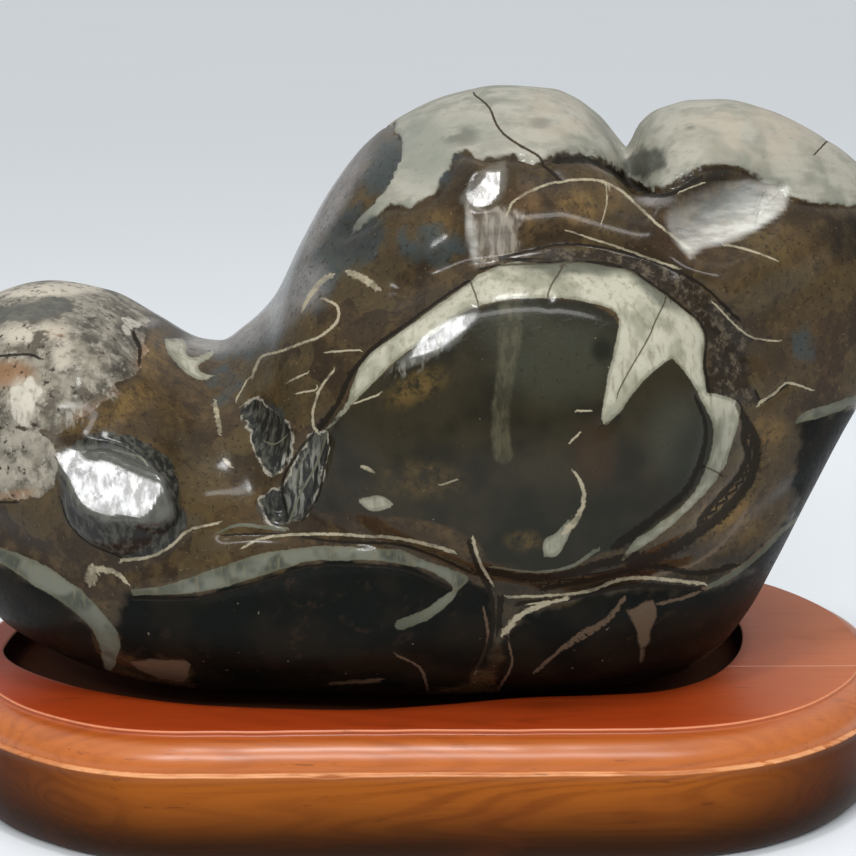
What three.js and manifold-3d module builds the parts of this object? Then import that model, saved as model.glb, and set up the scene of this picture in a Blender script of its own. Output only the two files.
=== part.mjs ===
// A polished nautiloid fossil, standing in the recess of a routed wooden stand.
// Millimetres, +Z up. The front faces -Y, and the origin is the middle of the stand's underside.
import * as THREE from 'three';
import { mergeVertices } from 'three/addons/utils/BufferGeometryUtils.js';
import Module from 'manifold-3d';

const wasm = await Module();
wasm.setup();

// The stand: a board with round ends, an ovolo between a ledge and a small step, and a rounded lower edge.
const STAND = {
  halfLength: 137.5,
  halfWidth: 76.5,
  height: 36,
  ovoloRun: 7.2,
  ovoloRise: 7.4,
  stepRun: 0.2,
  stepRise: 1.4,
  ledgeRun: 1.1,
  ledgeHeight: 27,
  lowerRun: 7,
  lowerRise: 13,
};
// The recess floor lies 0.4 mm under the stone's lowest skin.
const RECESS_DEPTH = 8;

// The hand-cut rim of the recess, seen from above, starting at its pointed left end.
const RECESS_RIM = [
  [-121.5, -6], [-115, -20], [-98, -34.5], [-79, -44], [-57, -50.5], [-18, -54], [6, -51],
  [28, -46.5], [50, -45], [66, -42.5], [79, -34.5], [88, -22.5], [94, -7], [96, 10],
  [92.5, 33], [80, 46], [40, 51.5], [-12, 55], [-62, 52], [-98, 43], [-117, 22],
];

// The stone's profile curves along its length. Every curve starts and ends at the stone's two tips.
const LEFT_TIP = { x: -139, y: 4, z: 96 };
const RIGHT_TIP = { x: 138.5, y: 2, z: 137 };
const STONE = {
  top: [
    [-136, 113], [-129, 129], [-118, 139.5], [-104.5, 142.5], [-89, 139.5], [-75.5, 132], [-62, 124.5],
    [-57, 123.8], [-50, 128], [-41.5, 136], [-32.5, 153], [-24, 167.5], [-14, 180], [-4, 187.5], [9.5, 193.5],
    [23.5, 196], [39.5, 194.8], [50, 192.5], [60, 191.4], [72, 192], [84, 192.4], [95, 190], [109, 183.5],
    [122, 174.5], [132, 161.5], [136.8, 148],
  ],
  bottom: [
    [-136.5, 83], [-131, 66], [-124, 54], [-114, 45], [-100, 38], [-80, 32.5], [-55, 29], [-15, 28.4],
    [30, 28.4], [59, 28.7], [73, 30], [84, 35], [92, 44.5], [99, 58], [108, 77], [119, 101], [130, 122],
  ],
  front: [
    [-136, -14], [-128, -30], [-112, -45], [-92, -54], [-72, -58], [-50, -57], [-30, -60], [0, -65], [30, -66],
    [55, -63], [75, -55.5], [92, -46], [108, -36], [122, -26], [133, -14],
  ],
  back: [
    [-136, 20], [-127, 35], [-110, 49], [-88, 57], [-64, 56], [-46, 52], [-20, 60], [10, 66], [40, 64],
    [59, 59], [80, 62], [104, 53], [122, 38], [133, 22],
  ],
  crest: [
    [-120, 2], [-100, -3], [-70, 2], [-52, 8], [-20, 8], [20, 5], [50, 6], [59, 4], [75, -5], [100, -6], [125, -1],
  ],
  keel: [[-120, 8], [-90, 2], [-50, 0], [0, 0], [50, 3], [72, 9], [92, 18], [112, 14], [128, 5]],
  waist: [
    [-130, 93], [-105, 90], [-75, 86], [-50, 80], [-15, 88], [25, 98], [60, 104], [90, 112], [115, 124], [130, 132],
  ],
};
// How full each section is: 2 is an ellipse, and more is squarer.
const UPPER_POWER = 2.2;
const LOWER_POWER = 2.9;

// The cleft between the two domes: its depth along the top, and how far round the section it reaches.
const CLEFT = {
  middle: 58.8,
  depth: [[-20, 0], [-13, 1.8], [-8, 5], [-3.5, 11], [0, 15], [1.4, 8], [6, 2.6], [14, 0]],
  front: { full: 0.38, none: 0.8 },
  back: { full: 0.6, none: 0.98, slant: 0.22 },
};

// Swellings and hollows of the polished faces: middle (x, z), radii, turn in degrees, height, share that is flat.
const FRONT_LUMPS = [
  { name: 'great chamber', x: 31, z: 113, rx: 58, rz: 46, turn: -8, height: 5.2, flat: 0.66 },
  { name: 'eye', x: -77, z: 97, rx: 20, rz: 19, turn: -15, height: 4.2, flat: 0.25 },
  { name: 'belly chamber', x: -30, z: 60, rx: 46, rz: 19, turn: 4, height: 2.8, flat: 0.3 },
  { name: 'left chamber', x: -104, z: 62, rx: 24, rz: 17, turn: 28, height: 2.2, flat: 0.2 },
  { name: 'dome brow', x: 16, z: 172, rx: 12, rz: 15, turn: 0, height: 3, flat: 0.1 },
  { name: 'dome cheek', x: -14, z: 156, rx: 20, rz: 24, turn: 20, height: -3, flat: 0.1 },
  { name: 'scooped facet', x: 80, z: 166, rx: 24, rz: 13, turn: 24, height: -5.5, flat: 0.2 },
  { name: 'facet rim', x: 92, z: 152, rx: 30, rz: 10, turn: 24, height: 2.4, flat: 0 },
  { name: 'notch hollow', x: 60, z: 180, rx: 9, rz: 9, turn: 0, height: -4, flat: 0 },
  { name: 'lobe crown', x: -98, z: 124, rx: 30, rz: 20, turn: 0, height: 3.2, flat: 0.35 },
];
const BACK_LUMPS = [
  { name: 'back chamber', x: 44, z: 122, rx: 50, rz: 42, turn: 12, height: 4.4, flat: 0.55 },
  { name: 'back lobe', x: -86, z: 96, rx: 36, rz: 30, turn: -20, height: 4.2, flat: 0.4 },
  { name: 'back belly', x: 0, z: 58, rx: 60, rz: 20, turn: -4, height: 2.6, flat: 0.3 },
  { name: 'back scoop', x: 8, z: 168, rx: 26, rz: 14, turn: -18, height: -3.6, flat: 0.1 },
];
const FRONT_GROOVES = [
  { name: 'arc', path: [[-2, 149], [16, 158], [37, 161], [58, 156], [73, 144], [84, 130]], width: 5, depth: 2.6 },
  { name: 'saddle', path: [[-54, 138], [-48, 116], [-36, 94]], width: 15, depth: 5.5 },
  { name: 'seam', path: [[-34, 92], [-14, 87], [12, 77], [45, 70], [74, 75], [100, 90]], width: 4.5, depth: 2 },
  { name: 'below the eye', path: [[-112, 84], [-92, 74], [-72, 78], [-52, 88]], width: 6, depth: 1.8 },
];
const BACK_GROOVES = [
  { name: 'back saddle', path: [[-56, 136], [-42, 110], [-30, 84]], width: 16, depth: 5.5 },
  { name: 'back seam', path: [[-110, 66], [-60, 66], [-10, 79], [40, 74], [96, 88]], width: 5, depth: 2.2 },
];
// The relief fades out towards the ridge and keel, and towards the stone's two tips.
const RELIEF_REACH = { ridge: 1.6, tips: 2.2 };

// The two waves that keep the faces between the lumps from being flat.
const WAVE = { height: 0.8, lengthX: 19, lengthZ: 15, frontPhase: 0.4, backPhase: 2.1 };

// Sections along the stone, with more where the cleft is steep, and points round each section.
const STATIONS = 66;
const CLEFT_STATIONS = [-6, -3.5, -1.6, -0.2, 1, 2.2, 4.5];
const ROUND = 48;

const rise = (t) => {
  const c = Math.min(1, Math.max(0, t));
  return c * c * (3 - 2 * c);
};
const midX = (LEFT_TIP.x + RIGHT_TIP.x) / 2;
const halfX = (RIGHT_TIP.x - LEFT_TIP.x) / 2;
const turnAt = (x) => Math.acos(Math.min(1, Math.max(-1, (midX - x) / halfX)));

// A smooth curve through points that never overshoots them, over the turn from tip to tip.
function profile(points, first, last) {
  const t = [0, ...points.map(([x]) => turnAt(x)), Math.PI];
  const v = [first, ...points.map(([, value]) => value), last];
  const slope = t.slice(1).map((end, i) => (v[i + 1] - v[i]) / (end - t[i]));
  const tangent = v.map((_, i) => {
    if (i === 0) return slope[0];
    if (i === v.length - 1) return slope[i - 1];
    const [before, after] = [slope[i - 1], slope[i]];
    return before * after <= 0 ? 0 : (2 * before * after) / (before + after);
  });
  return (at) => {
    let i = 0;
    while (i < t.length - 2 && at > t[i + 1]) i += 1;
    const span = t[i + 1] - t[i];
    const s = (at - t[i]) / span;
    return v[i] * (1 + 2 * s) * (1 - s) ** 2 + v[i + 1] * s * s * (3 - 2 * s)
      + span * (tangent[i] * s * (1 - s) ** 2 - tangent[i + 1] * s * s * (1 - s));
  };
}

const curves = {
  top: profile(STONE.top, LEFT_TIP.z, RIGHT_TIP.z),
  bottom: profile(STONE.bottom, LEFT_TIP.z, RIGHT_TIP.z),
  waist: profile(STONE.waist, LEFT_TIP.z, RIGHT_TIP.z),
  front: profile(STONE.front, LEFT_TIP.y, RIGHT_TIP.y),
  back: profile(STONE.back, LEFT_TIP.y, RIGHT_TIP.y),
  crest: profile(STONE.crest, LEFT_TIP.y, RIGHT_TIP.y),
  keel: profile(STONE.keel, LEFT_TIP.y, RIGHT_TIP.y),
};

// How far a lump lifts the face at (x, z).
function lift(lump, x, z) {
  const a = THREE.MathUtils.degToRad(lump.turn);
  const [dx, dz] = [x - lump.x, z - lump.z];
  const along = (dx * Math.cos(a) + dz * Math.sin(a)) / lump.rx;
  const across = (dz * Math.cos(a) - dx * Math.sin(a)) / lump.rz;
  return lump.height * rise((1 - Math.hypot(along, across)) / (1 - lump.flat));
}

// How deep a groove cuts the face at (x, z): full on its path, nothing a few widths away.
function cut(groove, x, z) {
  let nearest = Infinity;
  groove.path.slice(1).forEach(([x1, z1], i) => {
    const [x0, z0] = groove.path[i];
    const [ex, ez] = [x1 - x0, z1 - z0];
    const s = Math.min(1, Math.max(0, ((x - x0) * ex + (z - z0) * ez) / (ex * ex + ez * ez)));
    nearest = Math.min(nearest, Math.hypot(x - x0 - s * ex, z - z0 - s * ez));
  });
  return groove.depth * Math.exp(-((nearest / groove.width) ** 2));
}

function relief(x, z, front) {
  const [lumps, grooves] = front ? [FRONT_LUMPS, FRONT_GROOVES] : [BACK_LUMPS, BACK_GROOVES];
  const phase = front ? WAVE.frontPhase : WAVE.backPhase;
  const waves = WAVE.height * Math.sin(x / WAVE.lengthX + phase) * Math.sin(z / WAVE.lengthZ + 1 - phase);
  const swollen = lumps.reduce((sum, lump) => sum + lift(lump, x, z), waves);
  return grooves.reduce((sum, groove) => sum - cut(groove, x, z), swollen);
}

// How deep the cleft is at x, on the section point whose cosine is c, at y behind the ridge.
function cleftDepth(x, y, c, s) {
  if (s < 0) return 0;
  const side = c < 0 ? CLEFT.front : CLEFT.back;
  const from = x - CLEFT.middle - (side.slant ?? 0) * Math.max(0, y);
  const next = CLEFT.depth.findIndex(([at]) => at > from);
  if (next < 1) return 0;
  const [[x0, d0], [x1, d1]] = [CLEFT.depth[next - 1], CLEFT.depth[next]];
  const across = d0 + (d1 - d0) * ((from - x0) / (x1 - x0));
  return across * (1 - rise((Math.abs(c) - side.full) / (side.none - side.full)));
}

// Which way a section point lies from the section's middle, for each quarter of the squared ellipse.
function bent(v) {
  const [c, s] = [Math.cos(v), Math.sin(v)];
  const round = 2 / (s < 0 ? LOWER_POWER : UPPER_POWER);
  const bend = (w) => Math.sign(w) * Math.abs(w) ** round;
  return { c, s, across: bend(c), up: bend(s) };
}

// Turns round a section whose points lie the same distance apart.
function evenTurns(count) {
  const fine = 4000;
  const lengths = [0];
  let before = bent(0);
  for (let i = 1; i <= fine; i += 1) {
    const now = bent((2 * Math.PI * i) / fine);
    lengths.push(lengths[i - 1] + Math.hypot(now.across - before.across, now.up - before.up));
    before = now;
  }
  return Array.from({ length: count }, (_, j) => {
    const reached = lengths.findIndex((length) => length >= (j / count) * lengths[fine]);
    return (2 * Math.PI * reached) / fine;
  });
}

// The stone's surface: u turns from the left tip to the right one, and v turns round each section.
function stonePoint(u, v) {
  const x = midX - halfX * Math.cos(u);
  const { c, s, across, up } = bent(v);
  const [ridge, waist] = [s < 0 ? curves.keel(u) : curves.crest(u), curves.waist(u)];
  const deep = c < 0 ? ridge - curves.front(u) : curves.back(u) - ridge;
  const tall = s < 0 ? waist - curves.bottom(u) : curves.top(u) - waist;
  const [y, z] = [ridge + deep * across, waist + tall * up];
  const face = rise(Math.abs(c) * RELIEF_REACH.ridge) * rise(Math.sin(u) * RELIEF_REACH.tips);
  const out = new THREE.Vector2(across / Math.max(deep, 1), up / Math.max(tall, 1)).normalize();
  const amount = face * relief(x, z, c < 0) - cleftDepth(x, y - ridge, c, s);
  return [x, y + out.x * amount, z + out.y * amount];
}

function solid(positions, triangles) {
  return new wasm.Manifold(new wasm.Mesh({
    numProp: 3,
    vertProperties: new Float32Array(positions),
    triVerts: new Uint32Array(triangles),
  }));
}

function geometryOf(manifold) {
  const mesh = manifold.getMesh();
  return new THREE.BufferGeometry()
    .setAttribute('position', new THREE.BufferAttribute(new Float32Array(mesh.vertProperties), 3))
    .setIndex(new THREE.BufferAttribute(new Uint32Array(mesh.triVerts), 1));
}

// Joins rings of equal length into a closed skin, with a point before the first ring and one after the last.
function skin(rings, start, end) {
  const n = rings[0].length;
  const positions = [start, ...rings.flat(), end].flat();
  const last = rings.length * n + 1;
  const triangles = [];
  for (let j = 0; j < n; j += 1) {
    const k = (j + 1) % n;
    triangles.push(0, 1 + k, 1 + j);
    triangles.push(last, last - n + j, last - n + k);
    for (let i = 0; i < rings.length - 1; i += 1) {
      const [a, b] = [1 + i * n + j, 1 + i * n + k];
      triangles.push(a, b, b + n, a, b + n, a + n);
    }
  }
  const made = solid(positions, triangles);
  return made.volume() > 0 ? made : solid(positions, triangles.reverse());
}

function stoneSolid() {
  const turns = CLEFT_STATIONS.map((offset) => turnAt(CLEFT.middle + offset));
  for (let i = 1; i < STATIONS; i += 1) turns.push((Math.PI * i) / STATIONS);
  turns.sort((a, b) => a - b);
  const around = evenTurns(ROUND);
  const rings = turns.map((u) => around.map((v) => stonePoint(u, v)));
  return skin(rings, [LEFT_TIP.x, LEFT_TIP.y, LEFT_TIP.z], [RIGHT_TIP.x, RIGHT_TIP.y, RIGHT_TIP.z]);
}

// The stand's outline, drawn in from its widest by inset: straight sides and round ends.
function standRing(inset, z) {
  const radius = STAND.halfWidth - inset;
  const straight = STAND.halfLength - STAND.halfWidth;
  const ring = [];
  const quarterSteps = 16;
  for (let i = 0; i < 4 * quarterSteps; i += 1) {
    const a = (2 * Math.PI * (i + 0.5)) / (4 * quarterSteps);
    ring.push([Math.sign(Math.cos(a)) * straight + radius * Math.cos(a), radius * Math.sin(a), z]);
  }
  return ring;
}

function standSolid() {
  const s = STAND;
  const section = [];
  for (const a of [0, 22.5, 45, 67.5, 90].map(THREE.MathUtils.degToRad)) {
    section.push([s.lowerRun * (1 - Math.sin(a)), s.lowerRise * (1 - Math.cos(a))]);
  }
  const ovoloFoot = s.height - s.stepRise - s.ovoloRise;
  section.push([0, s.ledgeHeight]);
  for (const a of [0, 18, 36, 54, 72, 90].map(THREE.MathUtils.degToRad)) {
    section.push([s.ledgeRun + s.ovoloRun * (1 - Math.cos(a)), ovoloFoot + s.ovoloRise * Math.sin(a)]);
  }
  section.push([s.ledgeRun + s.ovoloRun + s.stepRun, s.height]);
  const board = skin(section.map(([inset, z]) => standRing(inset, z)), [0, 0, 0], [0, 0, s.height]);
  return board.subtract(recessSolid());
}

function recessSolid() {
  const rim = new THREE.SplineCurve(RECESS_RIM.map(([x, y]) => new THREE.Vector2(x, y)));
  rim.points.push(rim.points[0].clone());
  const shape = new THREE.Shape(rim.getPoints(88).slice(0, -1));
  const block = new THREE.ExtrudeGeometry(shape, { depth: 2 * RECESS_DEPTH, bevelEnabled: false });
  block.translate(0, 0, STAND.height - RECESS_DEPTH);
  block.deleteAttribute('normal');
  block.deleteAttribute('uv');
  const merged = mergeVertices(block, 1e-3);
  return solid(merged.attributes.position.array, merged.index.array);
}

function piece(name, manifold, material) {
  const mesh = new THREE.Mesh(geometryOf(manifold), material);
  mesh.name = name;
  mesh.geometry.computeVertexNormals();
  return mesh;
}

const polishedStone = new THREE.MeshStandardMaterial({ color: 0x4a3d2c, roughness: 0.22, metalness: 0 });
const varnishedWood = new THREE.MeshStandardMaterial({ color: 0x9a4e22, roughness: 0.38, metalness: 0 });

const group = new THREE.Group();
group.add(piece('fossil', stoneSolid(), polishedStone), piece('stand', standSolid(), varnishedWood));

export default group;
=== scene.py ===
"""A polished nautiloid fossil stone resting in the recess of a varnished oval wooden stand."""
from math import cos, pi, radians, sin

import bpy
import numpy as np
from mathutils import Matrix, Vector


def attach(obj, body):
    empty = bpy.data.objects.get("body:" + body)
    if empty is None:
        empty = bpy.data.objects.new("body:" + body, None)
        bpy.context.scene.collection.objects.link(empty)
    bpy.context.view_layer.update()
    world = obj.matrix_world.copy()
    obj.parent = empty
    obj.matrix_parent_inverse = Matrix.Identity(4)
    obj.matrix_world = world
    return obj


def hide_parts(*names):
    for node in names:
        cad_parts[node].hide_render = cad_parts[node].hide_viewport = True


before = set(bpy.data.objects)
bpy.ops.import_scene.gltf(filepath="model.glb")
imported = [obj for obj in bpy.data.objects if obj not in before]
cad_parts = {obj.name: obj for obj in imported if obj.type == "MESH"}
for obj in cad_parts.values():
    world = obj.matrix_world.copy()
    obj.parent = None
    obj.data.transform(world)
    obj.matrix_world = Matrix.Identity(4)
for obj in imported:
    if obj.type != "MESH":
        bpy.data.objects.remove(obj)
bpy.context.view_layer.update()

MM = 0.001

# The photograph: a square frame seen through a long lens, from a little above the stone's middle.
PHOTO_SIDE = 856
PHOTO_FOCAL = 1800.0
SENSOR = 36.0
EYE = np.array([4.3, -501.4, 225.6])
EYE_YAW = radians(-0.156)
EYE_PITCH = radians(14.102)
EYE_ROLL = radians(-0.408)

# Profile curves of the stone in millimetres along its length, as the frame's solid has them.
LEFT_TIP = (-139.0, 4.0, 96.0)
RIGHT_TIP = (138.5, 2.0, 137.0)
TOP = [
    (-136, 113), (-129, 129), (-118, 139.5), (-104.5, 142.5), (-89, 139.5), (-75.5, 132), (-62, 124.5),
    (-57, 123.8), (-50, 128), (-41.5, 136), (-32.5, 153), (-24, 167.5), (-14, 180), (-4, 187.5),
    (9.5, 193.5), (23.5, 196), (39.5, 194.8), (50, 192.5), (60, 191.4), (72, 192), (84, 192.4), (95, 190),
    (109, 183.5), (122, 174.5), (132, 161.5), (136.8, 148),
]
BOTTOM = [
    (-136.5, 83), (-131, 66), (-124, 54), (-114, 45), (-100, 38), (-80, 32.5), (-55, 29), (-15, 28.4),
    (30, 28.4), (59, 28.7), (73, 30), (84, 35), (92, 44.5), (99, 58), (108, 77), (119, 101), (130, 122),
]
FRONT = [
    (-136, -14), (-128, -30), (-112, -45), (-92, -54), (-72, -58), (-50, -57), (-30, -60), (0, -65),
    (30, -66), (55, -63), (75, -55.5), (92, -46), (108, -36), (122, -26), (133, -14),
]
BACK = [
    (-136, 20), (-127, 35), (-110, 49), (-88, 57), (-64, 56), (-46, 52), (-20, 60), (10, 66), (40, 64),
    (59, 59), (80, 62), (104, 53), (122, 38), (133, 22),
]
CREST = [
    (-120, 2), (-100, -3), (-70, 2), (-52, 8), (-20, 8), (20, 5), (50, 6), (59, 4), (75, -5), (100, -6),
    (125, -1),
]
KEEL = [(-120, 8), (-90, 2), (-50, 0), (0, 0), (50, 3), (72, 9), (92, 18), (112, 14), (128, 5)]
WAIST = [
    (-130, 93), (-105, 90), (-75, 86), (-50, 80), (-15, 88), (25, 98), (60, 104), (90, 112), (115, 124),
    (130, 132),
]
UPPER_POWER = 2.2
LOWER_POWER = 2.9
CLEFT_MIDDLE = 58.8
CLEFT_DEPTH = [(-20, 0), (-13, 1.8), (-8, 5), (-3.5, 11), (0, 15), (1.4, 8), (6, 2.6), (14, 0)]
CLEFT_FRONT = (0.38, 0.8)
CLEFT_BACK = (0.6, 0.98)
CLEFT_SLANT = 0.22
CLEFT_BLUR = (-1.5, -0.5, 0.5, 1.5)
WAVE_HEIGHT = 0.8
WAVE_X = 19.0
WAVE_Z = 15.0
FADE_AT_RIDGE = 1.6
FADE_AT_TIPS = 2.2

# Swellings and hollows: middle (x, z), radii, turn in degrees, height, and the flat share of the radius.
FRONT_LUMPS = [
    (31, 113, 58, 46, -8, 5.2, 0.66), (-77, 97, 20, 19, -15, 4.2, 0.25), (-30, 60, 46, 19, 4, 2.8, 0.3),
    (-104, 62, 24, 17, 28, 2.2, 0.2), (16, 172, 12, 15, 0, 3.0, 0.1), (-14, 156, 20, 24, 20, -3.0, 0.1),
    (80, 166, 24, 13, 24, -5.5, 0.2), (92, 152, 30, 10, 24, 2.4, 0.0), (60, 180, 9, 9, 0, -4.0, 0.0),
    (-98, 124, 30, 20, 0, 3.2, 0.35),
]
BACK_LUMPS = [
    (44, 122, 50, 42, 12, 4.4, 0.55), (-86, 96, 36, 30, -20, 4.2, 0.4), (0, 58, 60, 20, -4, 2.6, 0.3),
    (8, 168, 26, 14, -18, -3.6, 0.1),
]
# Grooves: path over the face (x, z), width and depth.
FRONT_GROOVES = [
    ([(-2, 149), (16, 158), (37, 161), (58, 156), (73, 144), (84, 130)], 5.0, 2.6),
    ([(-54, 138), (-48, 116), (-36, 94)], 15.0, 5.5),
    ([(-34, 92), (-14, 87), (12, 77), (45, 70), (74, 75), (100, 90)], 4.5, 2.0),
    ([(-112, 84), (-92, 74), (-72, 78), (-52, 88)], 6.0, 1.8),
]
BACK_GROOVES = [
    ([(-56, 136), (-42, 110), (-30, 84)], 16.0, 5.5),
    ([(-110, 66), (-60, 66), (-10, 79), (40, 74), (96, 88)], 5.0, 2.2),
]

# The stand: a board with round ends, in millimetres, as the frame's solid has it.
STAND_HALF_LENGTH = 137.5
STAND_HALF_WIDTH = 76.5
STAND_HEIGHT = 36.0
LOWER_ROUND = (7.0, 13.0)
LEDGE_HEIGHT = 27.0
LEDGE_RUN = 1.1
OVOLO = (7.2, 7.4)
STEP = (0.2, 1.4)
RECESS_DEPTH = 8.0
RIM_CHAMFER = 0.5
RECESS_RIM = [
    (-121.5, -6), (-115, -20), (-98, -34.5), (-79, -44), (-57, -50.5), (-18, -54), (6, -51), (28, -46.5),
    (50, -45), (66, -42.5), (79, -34.5), (88, -22.5), (94, -7), (96, 10), (92.5, 33), (80, 46), (40, 51.5),
    (-12, 55), (-62, 52), (-98, 43), (-117, 22),
]
ROUND_STAND = 480
# Hand sanding: how far it took the edge down, and the waves it left: height, waves round the board, phase.
SANDED = 0.3
WAVES = [(0.18, 7, 0.6), (0.12, 17, 2.0), (0.08, 31, 0.0)]
# Where the ledge is chipped: middle and half length along the front, and depth.
CHIP = (-22.5, 9.0, 0.7)
# Where the glued joint between two boards shows on the top.
JOINT_Y = -25.0

# Markings of the shown side, in photograph pixels. A point given twice is a corner.
ARCH = [
    (322, 432), (322, 432), (339, 412), (348, 400), (356, 372), (371, 352), (394, 336), (420, 317),
    (449, 296), (470, 281), (484, 271), (510, 261), (545, 262), (580, 261), (615, 267), (630, 269),
    (650, 283), (684, 308), (705, 331), (704, 364), (708, 393), (708, 393), (724, 396), (739, 403),
    (741, 414), (735, 437), (721, 474), (707, 491), (672, 525), (635, 553), (620, 565), (620, 565),
    (633, 543), (657, 526), (681, 508), (701, 481), (713, 447), (714, 427), (708, 412), (693, 384),
    (679, 366), (672, 358), (672, 358), (651, 373), (633, 394), (618, 414), (606, 426), (606, 426),
    (601, 421), (603, 404), (610, 368), (618, 330), (618, 315), (608, 308), (576, 300), (522, 298),
    (487, 304), (466, 311), (435, 333), (400, 357), (379, 377), (357, 400), (329, 430), (329, 430),
]
HOOK = [
    (164, 338), (164, 338), (184, 340), (187, 355), (197, 357), (214, 350), (214, 354), (198, 366),
    (200, 372), (217, 376), (217, 376), (200, 380), (181, 368), (168, 353),
]
LEFT_BAND = [
    (-60, 520), (-20, 540), (10, 551), (38, 562), (64, 577), (91, 600), (116, 631), (120, 645), (113, 670),
    (113, 670), (106, 669), (100, 650), (91, 628), (59, 600), (32, 584), (8, 567), (-30, 552), (-60, 534),
]
LOWER_BAND = [
    (131, 590), (131, 590), (157, 587), (184, 579), (213, 569), (251, 557), (283, 550), (328, 546),
    (379, 549), (400, 551), (430, 562), (459, 573), (468, 580), (450, 598), (450, 598), (452, 586),
    (426, 570), (385, 562), (347, 560), (308, 562), (261, 576), (200, 593), (166, 595), (133, 595),
    (133, 595),
]
LOWER_HOOK = [
    (453, 590), (453, 590), (437, 601), (426, 609), (395, 622), (398, 630), (414, 626), (430, 619),
    (447, 606), (458, 592), (458, 592),
]
SMALL_SLIVER = [(352, 499), (352, 499), (381, 496), (395, 506), (395, 506), (371, 511), (359, 503)]
FLANK_SLIVER = [
    (794, 424), (794, 424), (803, 413), (833, 403), (856, 395), (900, 388), (900, 400), (856, 405),
    (832, 414), (803, 422),
]
WHITE_DIAMOND = [(122, 328), (122, 328), (127, 322), (145, 323), (145, 323), (132, 331)]
CREAM_PATCH = [(23, 377), (35, 376), (40, 402), (30, 415), (29, 426), (18, 423), (8, 401), (9, 392)]
LOWER_TRIANGLE = [
    (626, 611), (626, 611), (654, 600), (654, 600), (656, 616), (641, 663), (641, 663), (637, 632),
]
CURL_WEDGE = [
    (543, 557), (543, 557), (544, 541), (556, 533), (573, 513), (573, 513), (570, 534), (557, 555),
]
CAPS = [
    (394, 126), (394, 126), (401, 142), (398, 164), (385, 187), (364, 212), (345, 234), (345, 234),
    (366, 221), (388, 204), (408, 205), (434, 193), (443, 176), (452, 158), (464, 150), (483, 156),
    (514, 155), (539, 162), (550, 155), (565, 150), (587, 150), (604, 159), (620, 168), (637, 181),
    (649, 187), (666, 186), (682, 178), (704, 166), (737, 166), (765, 181), (781, 182), (788, 196),
    (809, 201), (845, 204), (880, 205), (940, 216), (940, 216), (940, 20), (940, 20), (394, 20), (394, 20),
]
LEFT_LOBE = [
    (-110, 250), (60, 262), (148, 300), (146, 331), (145, 356), (136, 374), (119, 379), (113, 386),
    (116, 393), (98, 408), (85, 417), (67, 428), (52, 434), (38, 429), (18, 425), (-30, 427), (-110, 430),
]
LOBE_FOOT = [
    (-110, 440), (0, 430), (38, 432), (56, 444), (57, 470), (54, 488), (30, 497), (-20, 500), (-110, 500),
]
MAIN_CHAMBER = [
    (329, 430), (379, 377), (435, 333), (487, 304), (576, 300), (618, 320), (618, 345), (640, 375),
    (672, 355), (714, 420), (701, 481), (657, 526), (633, 543), (600, 553), (571, 566), (536, 572),
    (495, 565), (481, 545), (450, 528), (400, 516), (345, 512), (312, 508), (317, 470),
]
LEFT_CHAMBER = [
    (-90, 540), (-30, 552), (32, 584), (59, 600), (91, 628), (100, 655), (106, 672), (60, 664), (0, 640),
    (-90, 590),
]
LOWER_CHAMBER = [
    (131, 595), (200, 593), (261, 576), (308, 562), (385, 562), (426, 570), (452, 586), (468, 582),
    (490, 600), (492, 640), (480, 672), (440, 690), (380, 705), (256, 705), (205, 700), (188, 670),
    (178, 660), (130, 658), (121, 640), (118, 615),
]
RIGHT_CHAMBER = [
    (505, 640), (520, 617), (545, 606), (600, 598), (660, 590), (705, 590), (740, 576), (775, 552),
    (800, 560), (790, 600), (735, 650), (700, 690), (600, 710), (505, 705),
]
# Painted shade: the dark hollow between the domes.
DARK_HOLLOW = [
    (626, 160), (642, 148), (660, 146), (666, 158), (668, 168), (655, 175), (640, 178), (622, 172),
]
DARK_FLANK = [
    (797, 424), (816, 416), (900, 398), (920, 400), (920, 480), (850, 560), (770, 580), (745, 562),
    (765, 542), (785, 522), (797, 500), (792, 474), (803, 448),
]
ROUND_EYE = [
    (60, 500), (61, 480), (62, 455), (84, 437), (115, 432), (142, 440), (166, 457), (175, 472), (182, 505),
    (187, 522), (170, 545), (153, 555), (122, 558), (89, 544), (67, 524),
]
EYE_FACET = [
    (50, 450), (80, 445), (112, 446), (132, 453), (150, 464), (166, 478), (177, 514), (163, 527),
    (146, 526), (124, 521), (103, 522), (78, 508), (64, 482), (54, 466),
]
CRYSTAL_POCKET = [
    (240, 412), (245, 402), (255, 398), (276, 410), (289, 427), (292, 440), (289, 463), (281, 474),
    (271, 475), (260, 457), (246, 431),
]
CRACKLE = [
    (314, 433), (300, 451), (285, 476), (284, 500), (288, 521), (302, 518), (317, 495), (322, 467),
    (328, 441), (329, 431),
]
GREEN_POCKET = [(257, 502), (264, 494), (277, 492), (288, 500), (288, 515), (281, 523), (268, 518)]
FRAGMENT = [
    (708, 336), (730, 330), (744, 338), (747, 373), (756, 391), (759, 403), (738, 400), (709, 394),
    (707, 373), (711, 355),
]
FOOT_PATCH = [(129, 661), (129, 661), (176, 660), (190, 663), (184, 682), (163, 681), (144, 672)]
# Painted reflection: a pale streak down the main chamber.
CHAMBER_REFLECTION_STREAK = [
    (499, 303), (521, 300), (519, 351), (512, 397), (509, 430), (513, 456), (502, 464), (494, 456),
    (492, 420), (498, 357),
]
RUBBLE_BAND = [
    (498, 262), (530, 254), (562, 247), (600, 250), (636, 256), (664, 264), (700, 286), (736, 320),
    (754, 338), (744, 342), (724, 334), (708, 332), (684, 306), (650, 281), (630, 268), (600, 260),
    (560, 259), (520, 262),
]
LOBE_STRIPE = [
    (-60, 304), (0, 306), (28, 303), (44, 297), (58, 297), (74, 305), (72, 311), (50, 317), (9, 320),
    (-60, 322),
]
DOME_FLAT = [
    (461, 199), (469, 186), (480, 173), (495, 163), (508, 159), (506, 187), (502, 199), (490, 206),
    (476, 212), (464, 206),
]
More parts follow.
